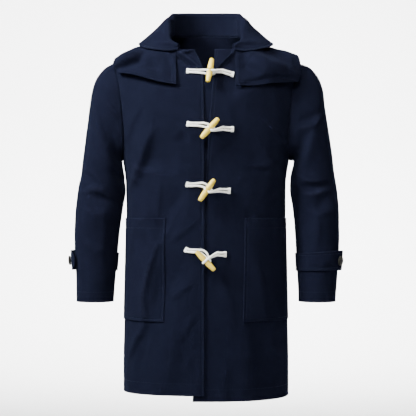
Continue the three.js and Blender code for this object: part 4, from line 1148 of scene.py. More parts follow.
    def at(self, way: Array, place: Array) -> Pair:
        """Points of the sleeve between its grid's, and the ways out there.

        Args:
            way: the place along the sleeve.
            place: the place round it, of 20.

        Returns:
            The points and the ways out.
        """
        row = np.interp(way, self.ways, np.arange(len(self.ways)))
        column = (place * self.count / (2 * YOKE_ROWS)) % self.count
        r0 = np.clip(np.floor(row).astype(int), 0, len(self.ways) - 2)
        c0 = np.floor(column).astype(int) % self.count
        c1 = (c0 + 1) % self.count
        fr, fc = (row - r0)[..., None], (column - np.floor(column))[..., None]
        point, out = (
            mix(mix(values[r0, c0], values[r0, c1], fc), mix(values[r0 + 1, c0], values[r0 + 1, c1], fc), fr)
            for values in (self.grid, self.out)
        )
        return point, unit(out)

    def strap(self, button: CuffButton) -> None:
        """Makes the strap that runs from the inner seam round to the outer side.

        Args:
            button: makes its button.
        """
        hand, reach, seat = STRAPS[self.side]
        length = 17.5 * reach
        share = spaced(length, 4.0, (1.0, 2.4, 4.0, 6.0))[:, None]
        across = spaced(48, 3.0, (1.0, 2.4, 4.0, 6.0))[None, :] * 2 - 1
        tip = within((share - 0.88) / 0.12)
        half = 0.5 * np.sqrt(np.clip(1 - 0.84 * tip**2.4, 0.02, 1))
        way = 9.5 + half * across
        place = YOKE_ROWS + hand * reach * np.broadcast_to(share, way.shape)
        base, out = self.at(way, place)
        stand = 6 * within((share - 0.45) / 0.4) ** 2
        lift = SEAM_GAP + 0.7 + stand + HOOD_CLOTH
        width = 47 * (1 - np.abs(across)) * half / 0.5 * 0.5
        away = np.minimum(width, (1 - share) * length)
        grid = base + out * (lift + turned_edge(away, 5.0) * 0.8)[..., None]
        self.tailor.piece(f"cuff_strap_{self.side.word}", grid, out, HOOD_CLOTH)
        near = nearest(width[10], 5.0)
        far = grid.shape[1] - 1 - near
        end = nearest((1 - share[:, 0]) * length, 6)
        both = np.stack([grid, out])
        runs = [both[:, 1:end, near], both[:, 1:end, far], both[:, end, near : far + 1]]
        self.tailor.sew(f"cuff_strap_{self.side.word}", runs)
        row = nearest(share[:, 0], seat / reach)
        middle = grid.shape[1] // 2
        button.build(self.side, grid[row, middle], out[row, middle])

    def build(self, button: CuffButton) -> None:
        """Makes the sleeve, its cuff stitching and its strap.

        Args:
            button: makes the strap's button.
        """
        self.surface()
        self.tailor.piece(f"sleeve_{self.side.word}", self.grid, self.out, round_way=True)
        _, from_cuff = run_lengths(self.grid, 0)
        row = nearest(from_cuff[:, 0], self.hem_stitch)
        both = np.stack([closed(self.grid, True), closed(self.out, True)])
        self.tailor.sew(f"sleeve_{self.side.word}", [both[:, row]])
        self.strap(button)


def smooth_line(values: Array, at: Array) -> Array:
    """Samples of the smooth curve through rows of values.

    Args:
        values: the rows.
        at: where to sample, in rows.

    Returns:
        A row for each place.
    """
    padded = np.concatenate([2 * values[:1] - values[1:2], values, 2 * values[-1:] - values[-2:-1]])
    i = np.clip(np.floor(at).astype(int), 0, len(values) - 2)
    t = (at - i).reshape(-1, *([1] * (values.ndim - 1)))
    a, b, c, d = (padded[i + k] for k in range(4))
    return b + 0.5 * t * (c - a + t * (2 * a - 5 * b + 4 * c - d + t * (3 * (b - c) + d - a)))


def smooth_grid(coarse: Array, rows: Array, columns: Array) -> Array:
    """A smooth surface through a coarse grid of points, sampled at places given in rows and columns."""
    return np.swapaxes(smooth_line(np.swapaxes(smooth_line(coarse, rows), 0, 1), columns), 0, 1)


@dataclass
class Hood:
    """The hood, laid down on the shoulders: its turned-over rim and the pouch of three panels."""

    form: BodyForm
    tailor: Tailoring
    neck: dict[Side, Array]
    stitch: float = 6.5
    clear_front: float = 4.5
    clear_back: float = 11.0
    side_ways: tuple[float, ...] = (
        0, 0.08, 0.16, 0.24, 0.32, 0.38, 0.42, 0.47, 0.53, 0.6, 0.68, 0.76, HOOD_SEAM - 0.002,
    )
    middle_ways: tuple[float, ...] = (HOOD_SEAM + 0.002, 0.88, 0.92, 0.96, 1)
    shares: int = 12

    def seam(self, side: Side, turn: float) -> Array:
        """The point of the neck seam at a turn from the front.

        Args:
            side: the wearer's side.
            turn: the turn.

        Returns:
            The point, with x counted outward.
        """
        way = np.array([math.sin(math.radians(turn)), -math.cos(math.radians(turn))])
        run = self.neck[side]
        off = run[:, 0] * way[1] - run[:, 1] * way[0]
        for i in range(len(run) - 1):
            if off[i] * off[i + 1] <= 0 and run[i, :2] @ way > 0 and off[i] != off[i + 1]:
                return mix(run[i], run[i + 1], off[i] / (off[i] - off[i + 1]))
        return run[-1].copy()

    def rim_section(self, side: Side, turn: float, way: Array) -> Array:
        """The rim's points at a turn: up the stand, over the fold and down the fall.

        Args:
            side: the wearer's side.
            turn: the turn round the neck from the front.
            way: shares of the way from the neck seam to the rim's edge.

        Returns:
            A point for each share, with x counted outward.
        """
        fold_out, fold_z, edge_r, edge_z = (
            float(RIM_SECTIONS.curve("turn", key)(turn)) for key in ("foldOut", "foldZ", "edgeR", "edgeZ")
        )
        seam = self.seam(side, turn)
        seam_r = math.hypot(seam[0], seam[1])
        fold_r = seam_r + fold_out
        base_z = seam[2] + (2.6 if turn < 75 else 2.0)
        roll = min(9.0, (fold_z - base_z) * 0.45)
        stand = 0.4
        up = within(way / stand)
        turned = np.radians(90) * within((up - 0.6) / 0.4)
        stand_r = np.where(up < 0.6, mix(seam_r, fold_r - roll, up / 0.6), fold_r - roll * np.cos(turned))
        stand_z = np.where(up < 0.6, mix(base_z, fold_z - roll, up / 0.6), fold_z - roll + roll * np.sin(turned))
        down = within((way - stand) / (1 - stand))
        fall_r = mix(fold_r, edge_r, down**1.15) + 4 * within(down / 0.1) * (1 - down)
        fall_z = mix(fold_z, edge_z, down**0.95)
        r = np.where(way <= stand, stand_r, fall_r)
        z = np.where(way <= stand, stand_z, fall_z)
        outward = np.array([math.sin(math.radians(turn)), -math.cos(math.radians(turn))])
        return np.stack([r * outward[0], r * outward[1], z], 1)

    def rim(self) -> None:
        """Makes the rim, with its turned edge and its stitching."""
        edge = 1 - np.array([0.055, 0.045, 0.036, 0.028, 0.02, 0.013, 0.006, 0])
        way = np.concatenate([np.linspace(0, 0.2, 9), np.linspace(0.22, 0.5, 22), np.linspace(0.53, 0.93, 16), edge])
        turns = np.concatenate([[41, 41.6, 42.3, 43.2, 44.3, 45.6, 47], np.linspace(49, 180, 84)])
        halves = {}
        for side in Side:
            halves[side] = np.stack([self.rim_section(side, turn, way) for turn in turns]) * side.mirror
        rows = np.concatenate([halves[Side.RIGHT], halves[Side.LEFT][-2::-1]])
        normal = grid_normals(rows, False, 1)
        _, from_edge = run_lengths(rows, 1)
        from_start, from_end = run_lengths(rows, 0)
        ends = np.minimum(from_start, from_end)
        fall = within((way - 0.44) / 0.1)
        angle = np.degrees(np.arctan2(rows[..., 0], -rows[..., 1]))
        puckers = unevenness(angle * 2.6, way * 150, 0.7) * 0.9 * fall
        spread = creases(
            (9, 2.4, 110, 52, 128, 96, 152, 128), (9, 2.6, -96, 40, -118, 88, -150, 124),
            (11, 2.0, 210, 60, 232, 120), (11, -2.0, -236, 54, -222, 124), (12, 1.8, 320, 70, 296, 130),
            (12, 1.8, -330, 60, -352, 130),
        )
        lift = puckers + crease_height(spread, angle * 2.2, way[None, :] * 150) * fall
        lift = lift + turned_edge(from_edge, self.stitch) + 0.3 * turned_edge(ends, self.stitch)
        lift = lift * np.where(way < 0.2, 0.3, 1.0)
        outer = rows + normal * (HOOD_CLOTH / 2 + lift)[..., None]
        self.tailor.piece("hood_rim", outer, normal, HOOD_CLOTH)
        column = nearest(from_edge[60], self.stitch)
        self.tailor.sew("hood_rim", [np.stack([outer, normal])[:, 3:-3, column]])

    def section(self, side: Side, way: float) -> Array:
        """One section of the pouch: out from the neck, down, and under at the back.

        Args:
            side: the wearer's side.
            way: the place round the hood, from its front edge to the middle of the back.

        Returns:
            The section's points, with x counted outward.
        """
        at = {key: float(HOOD_SECTIONS.curve("way", key)(way)) for key in HOOD_SECTIONS.columns.split()[1:]}
        seam = self.seam(side, at["neck"])
        seam_r = math.hypot(seam[0], seam[1])
        start = np.array([*(seam[:2] * (seam_r + at["out"]) / seam_r), seam[2] - at["drop"]])
        target = np.array([at["x"], at["y"], at["leftZ"] if side is Side.LEFT else at["z"]])

        def lying(t: Array) -> Array:
            """Points of the part that lies on the coat."""
            midway = at[f"{side.word}Loft"] * 6.75 * t * t * (1 - t)
            lift = mix(HOOD_START_LIFT, at[f"{side.word}Lift"], t * t) + midway
            return self.form.off(mix(start, target, t[:, None]), lift)

        end = lying(np.ones(1))[0]
        main = float(np.linalg.norm(start - end)) * 1.08
        radius = HOOD_HOOK_RADIUS * at["hook"]
        curl = math.pi * radius
        run = np.linspace(0, 1, self.shares) * (main + curl + HOOD_HOOK_RISE * at["hook"])
        points = lying(within(run / main))
        if at["hook"] < 0.02:
            return points
        inward = np.array([-end[0], -end[1], 0]) / math.hypot(end[0], end[1])
        past = run - main
        turned = np.clip(past / radius, 0, math.pi)
        hook = end + inward * (radius * (1 - np.cos(turned)))[:, None]
        hook[:, 2] += -radius * np.sin(turned) + np.clip(past - curl, 0, None)
        return np.where((past > 0)[:, None], hook, points)

    def eased(self, rows: Array) -> Array:
        """Eases the rows between the first and the last towards their neighbours, but keeps them off the coat.

        Args:
            rows: the rows.

        Returns:
            The eased rows.
        """
        found = rows.copy()
        found[1:-1] = mix(rows[1:-1], (rows[:-2] + rows[2:]) / 2, 0.5)
        clear = self.form.off(found, mix(self.clear_front, self.clear_back, within(found[..., 1] / 40)))
        nearer = np.linalg.norm(clear - CHEST_MIDDLE, axis=-1) > np.linalg.norm(found - CHEST_MIDDLE, axis=-1)
        nearer[[0, -1]] = False
        return np.where(nearer[..., None], clear, found)

    def panel(self, word: str, ways: Sequence[float], folds: Sequence[Crease]) -> None:
        """Makes one of the pouch's panels.

        Args:
            word: what the piece is.
            ways: places round the hood; those below 0 are on the right side.
            folds: its creases, in the front view for a side panel and in the back view for the middle one.
        """
        coarse = []
        for way in ways:
            side = Side.RIGHT if way < 0 or (way == 0 and ways[1] < 0) else Side.LEFT
            coarse.append(self.section(side, abs(way)) * side.mirror)
        laid = np.stack(coarse)
        rows = self.eased(self.eased(laid))
        share = np.linspace(0, 1, self.shares)[None, :, None]
        rows = rows + (laid[:, -1:] - rows[:, -1:]) * share**1.5
        count_r, count_c = len(ways) - 1, self.shares - 1
        length = float(run_lengths(rows, 0)[0][-1].max())
        reach = float(run_lengths(rows, 1)[0][:, -1].max())
        near = (1.2, 2.6, 4.0, 5.2, 6.5, 7.8, 9.5, 12.0)
        fine = smooth_grid(rows, spaced(length, 5, near) * count_r, spaced(reach, 5, near) * count_c)
        normal = grid_normals(fine, False, 1 if ways[1] > ways[0] else -1)
        from_start, from_end = run_lengths(fine, 0)
        from_neck, from_edge = run_lengths(fine, 1)
        lift = crease_height(folds, fine[..., 0], fine[..., 2]) * within(from_neck / 14)
        lift = lift + unevenness(from_start, from_neck, 3.1 + len(f"{word}_cloth")) * within(from_neck / 30)
        at_side = ways[0] == 0
        lift = lift + turned_edge(from_edge, self.stitch)
        lift = lift + (turned_edge(from_start, self.stitch) if at_side else seam_edge(from_start)) + seam_edge(from_end)
        outer = fine + normal * (HOOD_CLOTH / 2 + lift)[..., None]
        self.tailor.piece(word, outer, normal, HOOD_CLOTH)
        column = nearest(from_edge[len(fine) // 2], self.stitch)
        both = np.stack([outer, normal])
        runs = [both[:, 1:-1, column]]
        for away, turned in ((from_start, at_side), (from_end, False)):
            row = nearest(away[:, 10], self.stitch if turned else SEAM_STITCH)
            runs.append(both[:, row, 1 : column if turned else -1])
        self.tailor.sew(word, runs)

    def build(self) -> None:
        """Makes the rim and the three panels."""
        self.rim()
        right_creases = creases(
            (9, 7.2, -232, -98, -198, -90, -165, -78, -152, -58), (13, -9.6, -216, -76, -190, -68, -168, -60),
            (16, -3.6, -190, -104, -150, -112, -110, -118), (9, 2.9, -96, -60, -84, -100, -78, -130),
            (11, 2.6, -138, -74, -122, -100, -116, -122),
        )
        left_creases = creases(
            (25, -14.5, 112, -70, 146, -94, 196, -102), (13, 5.5, 84, -56, 98, -92, 134, -122),
            (9, 3.6, 100, -136, 150, -126, 196, -122, 228, -124), (11, 3.0, 172, -52, 200, -70, 228, -92),
            (7, -2.9, 206, -84, 222, -104, 226, -124),
        )
        right_ways = [-way if way else 0.0 for way in self.side_ways]
        self.panel("hood_side_right", right_ways, right_creases)
        self.panel("hood_side_left", self.side_ways, left_creases)
        middle = [*self.middle_ways, *(-way for way in reversed(self.middle_ways[:-1]))]
        centre_creases = creases(
            (16, 3.4, -96, -60, -30, -120, 60, -110), (15, -3.0, -60, -180, 20, -214, 84, -186),
            (14, 2.6, 70, -70, 40, -150, 52, -220), (13, 2.4, -84, -120, -70, -190, -40, -240),
        )
        self.panel("hood_middle", middle, centre_creases)


TOGGLES = Table("x z lean loopX loopZ stemX stemZ", (
    (9.5, -113, 9, -47, -107, 66, -115), (9, -248.5, 41, -46, -236, 65, -249),
    (2.5, -396, 35, -47, -381.5, 57, -397), (-1, -565, -44, -50, -537.5, 47, -549),
))
TOGGLE_PROFILE = Table("share radius", (
    (0, 4.1), (0.04, 4.6), (0.1, 6.5), (0.22, 7.1), (0.45, 6.9), (0.75, 6.0), (0.95, 5.0), (1, 4.4),
))


# How each fastening lies: how far its loop bows up, and where from the waist its own cord comes to the toggle.
LIES = ((2.0, 18.0, -2.0), (5.0, 17.0, 0.0), (8.0, 17.0, 0.0), (12.0, 17.0, 15.0))
# How long the sewn blocks over the ends of both cords are, and how far they reach past the strands
LOOP_TACK = 6.0
STEM_TACK = 7.0
TACK_WIDTH = 3.4
# The cord of the last toggle goes over its waist, and the others go through a hole in it.
WRAPPED = 4


def path_frames(points: Array, first_up: Array) -> tuple[Array, Array, Array]:
    """Frames along a path that don't twist.

    Args:
        points: the path.
        first_up: a way roughly across the path at its start.

    Returns:
        The ways along the path and two ways across it, at each point.
    """
    way = unit(np.gradient(points, axis=0))
    up = np.zeros_like(points)
    before = first_up
    for i, along in enumerate(way):
        before = unit(before - along * (before @ along))
        up[i] = before
    return way, up, np.cross(way, up)


def resampled(points: Array, step: float) -> Array:
    """A smooth path through points, sampled evenly.

    Args:
        points: the path's points.
        step: from one sample to the next, in millimetres.

    Returns:
        The samples.
    """
    fine = smooth_line(points, np.linspace(0, len(points) - 1, len(points) * 24))
    along = distances(fine)
    places = np.linspace(0, along[-1], max(4, int(along[-1] / step)))
    return at_places(places, along, fine)


def tube(path: Array, radius: Array | float, sides: int, flat: float = 1.0) -> Mesh:
    """A closed round tube along a path.

    Args:
        path: its middle line.
        radius: its radius at each point.
        sides: how many sides its section has.
        flat: how thick the section is for its width.

    Returns:
        Its points and its faces.
    """
    _, up, side = path_frames(path, np.array([0.13, 0.5, 0.86]))
    turn = np.arange(sides) * 2 * np.pi / sides
    r = np.broadcast_to(np.asarray(radius, float), (len(path),))[:, None, None]
    ring = up[:, None] * np.cos(turn)[None, :, None] * flat + side[:, None] * np.sin(turn)[None, :, None]
    points = (path[:, None] + ring * r).reshape(-1, 3)
    return points, ring_faces(len(path), sides)


def joined(parts: Sequence[Mesh]) -> Mesh:
    """Several meshes put together as one.

    Args:
        parts: the meshes.

    Returns:
        Their points and faces.
    """
    points: list[Array] = []
    faces: Faces = []
    base = 0
    for own_points, own_faces in parts:
        points.append(own_points)
        faces.extend(tuple(base + number for number in face) for face in own_faces)
        base += len(own_points)
    return np.concatenate(points), faces


@dataclass
class Fastening:
    """One toggle with the loop that it goes through and its own cord."""

    number: int
    fronts: Fronts
    cord: Material
    wood: Material
    length: float = 63.0
    stand: float = 20.0
    cord_radius: float = 2.7
    core_share: float = 0.72
    yarn_half: float = 0.92
    yarn_flat: float = 0.8
    yarn_inset: float = 0.85
    yarn_weave: float = 0.32
    braid_pitch: float = 15.0
    tack_thread: float = 0.62
    loop_pitch: float = 6.0
    stem_pitch: tuple[float, float] = (7.0, 5.2)

    def braid(self, path: Array) -> list[Mesh]:
        """A braid of eight yarns round a core.

        Args:
            path: the cord's middle line.

        Returns:
            The yarns and the core, as meshes.
        """
        fine = resampled(path, 1.25)
        _, up, side = path_frames(fine, np.array([0.0, -1.0, 0.1]))
        along = distances(fine)
        parts = [tube(fine[::3], self.cord_radius * self.core_share, 8)]
        for hand in (1, -1):
            for k in range(4):
                turn = hand * 2 * np.pi * along / self.braid_pitch + k * np.pi / 2
                r = self.cord_radius - self.yarn_inset + self.yarn_weave * hand * np.cos(4 * turn)
                yarn = fine + (up * np.cos(turn)[:, None] + side * np.sin(turn)[:, None]) * r[:, None]
                parts.append(tube(yarn, self.yarn_half, 5, self.yarn_flat))
        return parts

    def loop_height(self, x: Array, z: Array) -> Array:
        """How high a strand of the loop runs over the plain form of the body."""
        return self.fronts.lift(Side.RIGHT, x, z) + self.cord_radius + 0.8

    def strand(self, sewn: Array, tip: Array, hand: float, pitch: Array, share: Array, height: Callable[..., Array],
               bow: float = 0.0) -> Array:
        """One strand of a doubled cord, from its sewn end to its tip.

        Args:
            sewn: where it is sewn on, in the front view.
            tip: where it goes.
            hand: which side of the line between them it keeps to, 1 or -1.
            pitch: how far apart the two strands are at each point.
            share: the points, as shares of the line.
            height: gives its height over the plain form of the body.
            bow: how far it bows up in its second half.

        Returns:
            Its points.
        """
        way = tip - sewn
        aside = np.array([way[1], -way[0]]) / math.hypot(*way)
        lifted = (hand * pitch / 2 - bow * np.sin(np.pi * share**1.5) ** 1.2)[:, None]
        flat = mix(sewn, tip, share[:, None]) + aside * lifted
        lift = height(flat[:, 0], flat[:, 1])
        return self.fronts.plan.form.surface(Face.FRONT, flat[:, 0], flat[:, 1], lift)[0]

    def tack(self, start: Array, end: Array, out: Array, width: float, along: float) -> list[Mesh]:
        """The sewn block over a cord's two ends: threads side by side round both strands.

        Args:
            start: one strand's middle.
            end: the other strand's middle.
            out: the way out of the cloth.
            width: how far the block reaches past the strands.
            along: its length along the cord.

        Returns:
            The threads, as meshes.
        """
        across = unit(end - start)
        forward = np.cross(out, across)
        middle = (start + end) / 2
        half = np.linalg.norm(end - start) / 2 + width
        parts = []
        count = max(4, int(along / 0.95))
        for i in range(count):
            shift = (i - (count - 1) / 2) * along / count
            share = np.linspace(-1, 1, 15)
            height = (self.cord_radius + 0.5) * within(1 - np.abs(share) ** 6) ** 0.5 - 1.3
            sway = 0.2 * math.sin(2.1 * i)
            line = middle + across * (share * half)[:, None] + out * height[:, None] + forward * (shift + sway)
            parts.append(tube(line, self.tack_thread, 5))
        return parts

    def sewn_cord(self, word: str, runs: Sequence[Array], sewn: Array, along: float) -> None:
        """Makes a doubled cord, with the sewn block over its two ends.

        Args:
            word: what the cord is.
            runs: its middle line from end to end, the first and last part being the two strands.
            sewn: where its ends are sewn on, in the front view.
            along: the length of the sewn block.
        """
        there, again = runs[0], runs[-1]
        out = self.fronts.plan.form.surface(Face.FRONT, sewn[:1], sewn[1:])[1][0]
        parts = self.braid(np.concatenate(runs))
        parts += self.tack(mix(there[0], there[1], 0.3), mix(again[-1], again[-2], 0.3), out, TACK_WIDTH, along)
        made = new_object(f"{word}_{self.number}_braid", *joined(parts), self.cord)
        fasten(made, "cord", f"{word}_{self.number}")

    def build(self) -> None:
        """Makes the toggle, its loop and its own cord."""
        x, z, lean, loop_x, loop_z, stem_x, stem_z = TOGGLES.rows[self.number - 1]
        form = self.fronts.plan.form
        plain = np.array([x]), np.array([z])
        base, outs = form.surface(Face.FRONT, *plain, self.fronts.lift(Side.RIGHT, *plain) + self.stand)
        middle, out = base[0], outs[0]
        axis = np.array([math.sin(math.radians(lean)), 0, math.cos(math.radians(lean))])
        axis = unit(axis - out * (axis @ out))
        self.toggle(middle, axis, out)
        sewn, tip = np.array([loop_x, loop_z]), np.array([x + 10.0, z])
        share = np.array([0, 0.15, 0.3, 0.45, 0.6, 0.75, 0.87, 0.97])
        pitch = self.loop_pitch * np.array([1, 1, 1, 1.1, 1.4, 1.5, 1.2, 0.7])
        bow, *near = LIES[self.number - 1]
        there = self.strand(sewn, tip, 1, pitch, share, self.loop_height, bow)
        turn = form.surface(Face.FRONT, tip[:1] + 2, tip[1:], self.loop_height(tip[:1], tip[1:]))[0]
        again = self.strand(sewn, tip, -1, pitch, share, self.loop_height, bow)[::-1]
        self.sewn_cord("loop_cord", (there, turn, again), sewn, LOOP_TACK)
        self.stem(middle, axis, out, np.array([stem_x, stem_z]), middle[[0, 2]] + near)

    def stem(self, middle: Array, axis: Array, out: Array, sewn: Array, near: Array) -> None:
        """Makes the toggle's own cord.

        Args:
            middle: the middle of the toggle's waist.
            axis: the way that it points.
            out: the way out of the coat.
            sewn: where the cord is sewn on, in the front view.
            near: where its strands come to the toggle.
        """
        aside = np.cross(axis, out)
        aside *= np.sign(aside[0])
        wrap = self.cord_radius + TOGGLE_PROFILE.rows[0][1] + 0.6
        share = np.array([0, 0.18, 0.35, 0.53, 0.7])
        pitch = mix(self.stem_pitch[0], self.stem_pitch[1], share)
        rise = within(share * 1.4)

        def height(x: Array, z: Array) -> Array:
            """How high a strand of the toggle's cord runs over the plain form of the body."""
            return mix(self.cord_radius, self.loop_height(x, z) + 2 * self.cord_radius + 1, rise)

        def around(turn: float, reach: float = wrap) -> Array:
            """A point round the toggle's waist."""
            angle = math.radians(turn)
            return middle + aside * math.cos(angle) * reach + out * math.sin(angle) * wrap

        over = self.strand(sewn, near, 1, pitch, share, height)
        under = self.strand(sewn, near, -1, pitch, share, height)[::-1]
        front = [around(50, wrap * 1.5), around(90), around(135), around(180)]
        if self.number != WRAPPED:
            front = [around(15, wrap * 1.15), middle, around(180, wrap * 0.7)]
        ring = [*front, around(225), around(270), around(285, wrap * 4)]
        self.sewn_cord("stem_cord", (over, np.array(ring), under), sewn, STEM_TACK)

    def toggle(self, middle: Array, axis: Array, out: Array) -> None:
        """Turns the toggle: a bead with a waist and rounded ends.

        Args:
            middle: the middle of its waist.
            axis: the way that it points.
            out: the way out of the coat.
        """
        radius = TOGGLE_PROFILE.curve("share", "radius")
        share = np.concatenate([np.linspace(0, 0.2, 12), np.linspace(0.22, 0.95, 26), [0.97, 0.985, 0.995, 1.0]])
        share = np.concatenate([-share[:0:-1], share])
        r = radius(np.abs(share)) * np.sqrt(np.clip(1 - within((np.abs(share) - 0.955) / 0.052) ** 2, 0.04, 1))
        turn = np.arange(40) * 2 * np.pi / 40
        side = np.cross(axis, out)
        wobble = 1 + 0.012 * np.sin(2 * turn + self.number) + 0.008 * np.sin(3 * turn)
        ring = side * np.cos(turn)[:, None] + out * np.sin(turn)[:, None]
        grid = middle + axis * (share * self.length / 2)[:, None, None] + ring * (r[:, None] * wobble)[..., None]
        faces = ring_faces(*grid.shape[:2])
        turned = np.stack([side, np.cross(axis, side), axis])
        made = new_object(f"toggle_{self.number}_turned", (grid.reshape(-1, 3) - middle) @ turned.T, faces, self.wood)
        made.matrix_world = Matrix.Translation(Vector(middle * MM)) @ Matrix(turned.T.tolist()).to_4x4()
        fasten(made, "toggle", f"toggle_{self.number}")


class Wiring:
    """A node tree in the making."""

    def __init__(self, tree: Tree) -> None:
        """Starts with a tree."""
        self.tree = tree

    def give(self, socket: Socket, value: object) -> None:
        """Feeds a socket from another one, or gives it a plain value.

        Args:
            socket: the input.
            value: the socket that feeds it, or its value.
        """
        if isinstance(value, Socket):
            self.tree.links.new(value, socket)
        else:
            socket.default_value = value

    def feed(self, node: Node, **values: object) -> None:
        """Feeds a node's inputs by their names, with _ for a space."""
        for name, value in values.items():
            self.give(node.inputs[name.replace("_", " ")], value)

    def node(self, kind: str, **values: object) -> Node:
        """Adds a node.

        Args:
            kind: the node's type.
            values: settings, and with names in capitals the values or the feeding sockets of its inputs.

        Returns:
            The node.
        """
        made = self.tree.nodes.new(kind)
        for name in [name for name in values if name[0].islower()]:
            setattr(made, name, values.pop(name))
        self.feed(made, **values)
        return made

    def noise(self, place: Socket, scale: object, detail: float, **values: float) -> Node:
        """Adds a noise over places."""
        return self.node("ShaderNodeTexNoise", Vector=place, Scale=scale, Detail=detail, **values)

    def math(self, operation: str, *inputs: object) -> Socket:
        """A maths node over sockets or numbers."""
        made = self.node("ShaderNodeMath", operation=operation)
        for socket, value in zip(made.inputs, inputs):
            self.give(socket, value)
        return made.outputs[0]

    def share(self, value: Socket, amount: float) -> Socket:
        """A value times an amount."""
        return self.math("MULTIPLY", value, amount)

    def ramp(self, value: Socket, low: object, high: object) -> Socket:
        """The value's place between two limits, held from 0 to 1."""
        made = self.node("ShaderNodeMapRange", interpolation_type="SMOOTHSTEP", Value=value)
        self.feed(made, From_Min=low, From_Max=high)
        return made.outputs["Result"]

    def blend(self, share: Socket, first: object, second: object) -> Socket:
        """A colour between two others.

        Args:
            share: how much of the second one it has.
            first: a colour or a socket.
            second: another.

        Returns:
            The colour.
        """
        made = self.node("ShaderNodeMix", data_type="RGBA", Factor=share)
        for socket, value in zip([s for s in made.inputs if s.type == "RGBA"], (first, second)):
            self.give(socket, value)
        return next(s for s in made.outputs if s.type == "RGBA")


def effect(name: str, inputs: dict[str, float], outputs: Sequence[str]) -> tuple[Wiring, Node, Node]:
    """An empty node group with its sockets.

    Args:
        name: the group's name.
        inputs: the usual values of its number inputs.
        outputs: the names of its outputs, which give numbers.

    Returns:
        Its wiring, its input node and its output node.
    """
    group = bpy.data.node_groups.new(name, "ShaderNodeTree")
    for label, value in inputs.items():
        socket = group.interface.new_socket(name=label, in_out="INPUT", socket_type="NodeSocketFloat")
        socket.default_value = value
    for label in outputs:
        group.interface.new_socket(name=label, in_out="OUTPUT", socket_type="NodeSocketFloat")
    wiring = Wiring(group)
    return wiring, wiring.node("NodeGroupInput"), wiring.node("NodeGroupOutput")


def woollen_nap() -> Tree:
    """The brushed surface of milled wool: a fine uneven pile and stray fibres.

    The pile and the twill wave are laid over the colour of a fine noise and not over the cloth's own places, so both
    come out as grain, and no diagonal lines show.

    Returns:
        The node group.
    """
    usual = {"Pile": 900.0, "Twill": 520.0, "Fibres": 700.0, "Cloud": 35.0}
    wires, given, result = effect("woollen nap", usual, ("Height", "Fibre", "Cloud"))
    given = given.outputs
    place = wires.node("ShaderNodeTexCoord").outputs["Object"]
    faded = wires.node("ShaderNodeMix", data_type="VECTOR", Factor=0.0035)
    start = next(socket for socket in faded.inputs if socket.identifier == "A_Vector")
    wires.give(start, wires.noise(place, 160.0, 2.0).outputs["Color"])
    scattered = next(socket for socket in faded.outputs if socket.type == "VECTOR")
    pile = wires.noise(scattered, given["Pile"], 5.0, Roughness=0.72).outputs["Fac"]
    twill = wires.node(
        "ShaderNodeTexWave", bands_direction="DIAGONAL", Vector=scattered, Scale=given["Twill"], Distortion=2.4,
        Detail=3.0, Detail_Scale=3.0,
    )
    long_way = wires.node("ShaderNodeMapping", Vector=place, Scale=(1.0, 1.0, 0.22), Rotation=(0.2, 0.5, 0.35))
    fibre = wires.noise(long_way.outputs["Vector"], given["Fibres"], 3.0, Roughness=0.55).outputs["Fac"]
    cloud = wires.noise(place, given["Cloud"], 3.0, Roughness=0.6).outputs["Fac"]
    soft = wires.math("ADD", wires.share(pile, 0.55), wires.share(twill.outputs["Fac"], 0.28))
    height = wires.math("ADD", soft, wires.share(fibre, 0.4))
    wires.feed(result, Height=height, Fibre=wires.ramp(fibre, 0.56, 0.78), Cloud=wires.ramp(cloud, 0.2, 0.8))
    return wires.tree


def rubbed_edges() -> Tree:
    """Where edges and folds stand out and get rubbed, and painted shade that darkens the concave places."""
    wires, given, result = effect("rubbed edges", {"Low": 0.47, "High": 0.56, "Broken": 90.0}, ("Rubbed", "Deep"))
    shape = wires.node("ShaderNodeNewGeometry").outputs["Pointiness"]
    place = wires.node("ShaderNodeTexCoord").outputs["Object"]
    patches = wires.ramp(wires.noise(place, given.outputs["Broken"], 3.0).outputs["Fac"], 0.3, 0.65)
    rubbed = wires.math("MULTIPLY", wires.ramp(shape, 0.5, given.outputs["High"]), patches)
    # Painted shade: concave places, such as creases, a toggle's waist and the gaps between yarns, are darkened in
    # colour.
    deep = wires.math("SUBTRACT", 1.0, wires.ramp(shape, 0.4, given.outputs["Low"]))
    wires.feed(result, Rubbed=rubbed, Deep=deep)
    return wires.tree


def long_grain() -> Tree:
    """Streaks along a turned piece, of finer and coarser kinds."""
    wires, given, result = effect("long grain", {"Fine": 260.0, "Coarse": 60.0, "Length": 0.12}, ("Streak", "Height"))
    squeeze = wires.node("ShaderNodeCombineXYZ", X=1.0, Y=1.0, Z=given.outputs["Length"])
    scaled = wires.node("ShaderNodeVectorMath", operation="MULTIPLY")
    wires.give(scaled.inputs[0], wires.node("ShaderNodeTexCoord").outputs["Object"])
    wires.give(scaled.inputs[1], squeeze.outputs["Vector"])
    fine, coarse = (
        wires.noise(scaled.outputs["Vector"], given.outputs[label], detail, Roughness=0.6).outputs["Fac"]
        for label, detail in (("Fine", 4.0), ("Coarse", 2.0))
    )
    streak = wires.math("ADD", wires.share(fine, 0.45), wires.share(coarse, 0.55))
    wires.feed(result, Streak=wires.ramp(streak, 0.38, 0.64), Height=fine)
    return wires.tree


@dataclass(frozen=True)
class Effects:
    """The effects that more than one finish uses."""

    nap: Tree
    # Wear on the edges, and painted shade in the concave places.
    rubbed: Tree
    grain: Tree


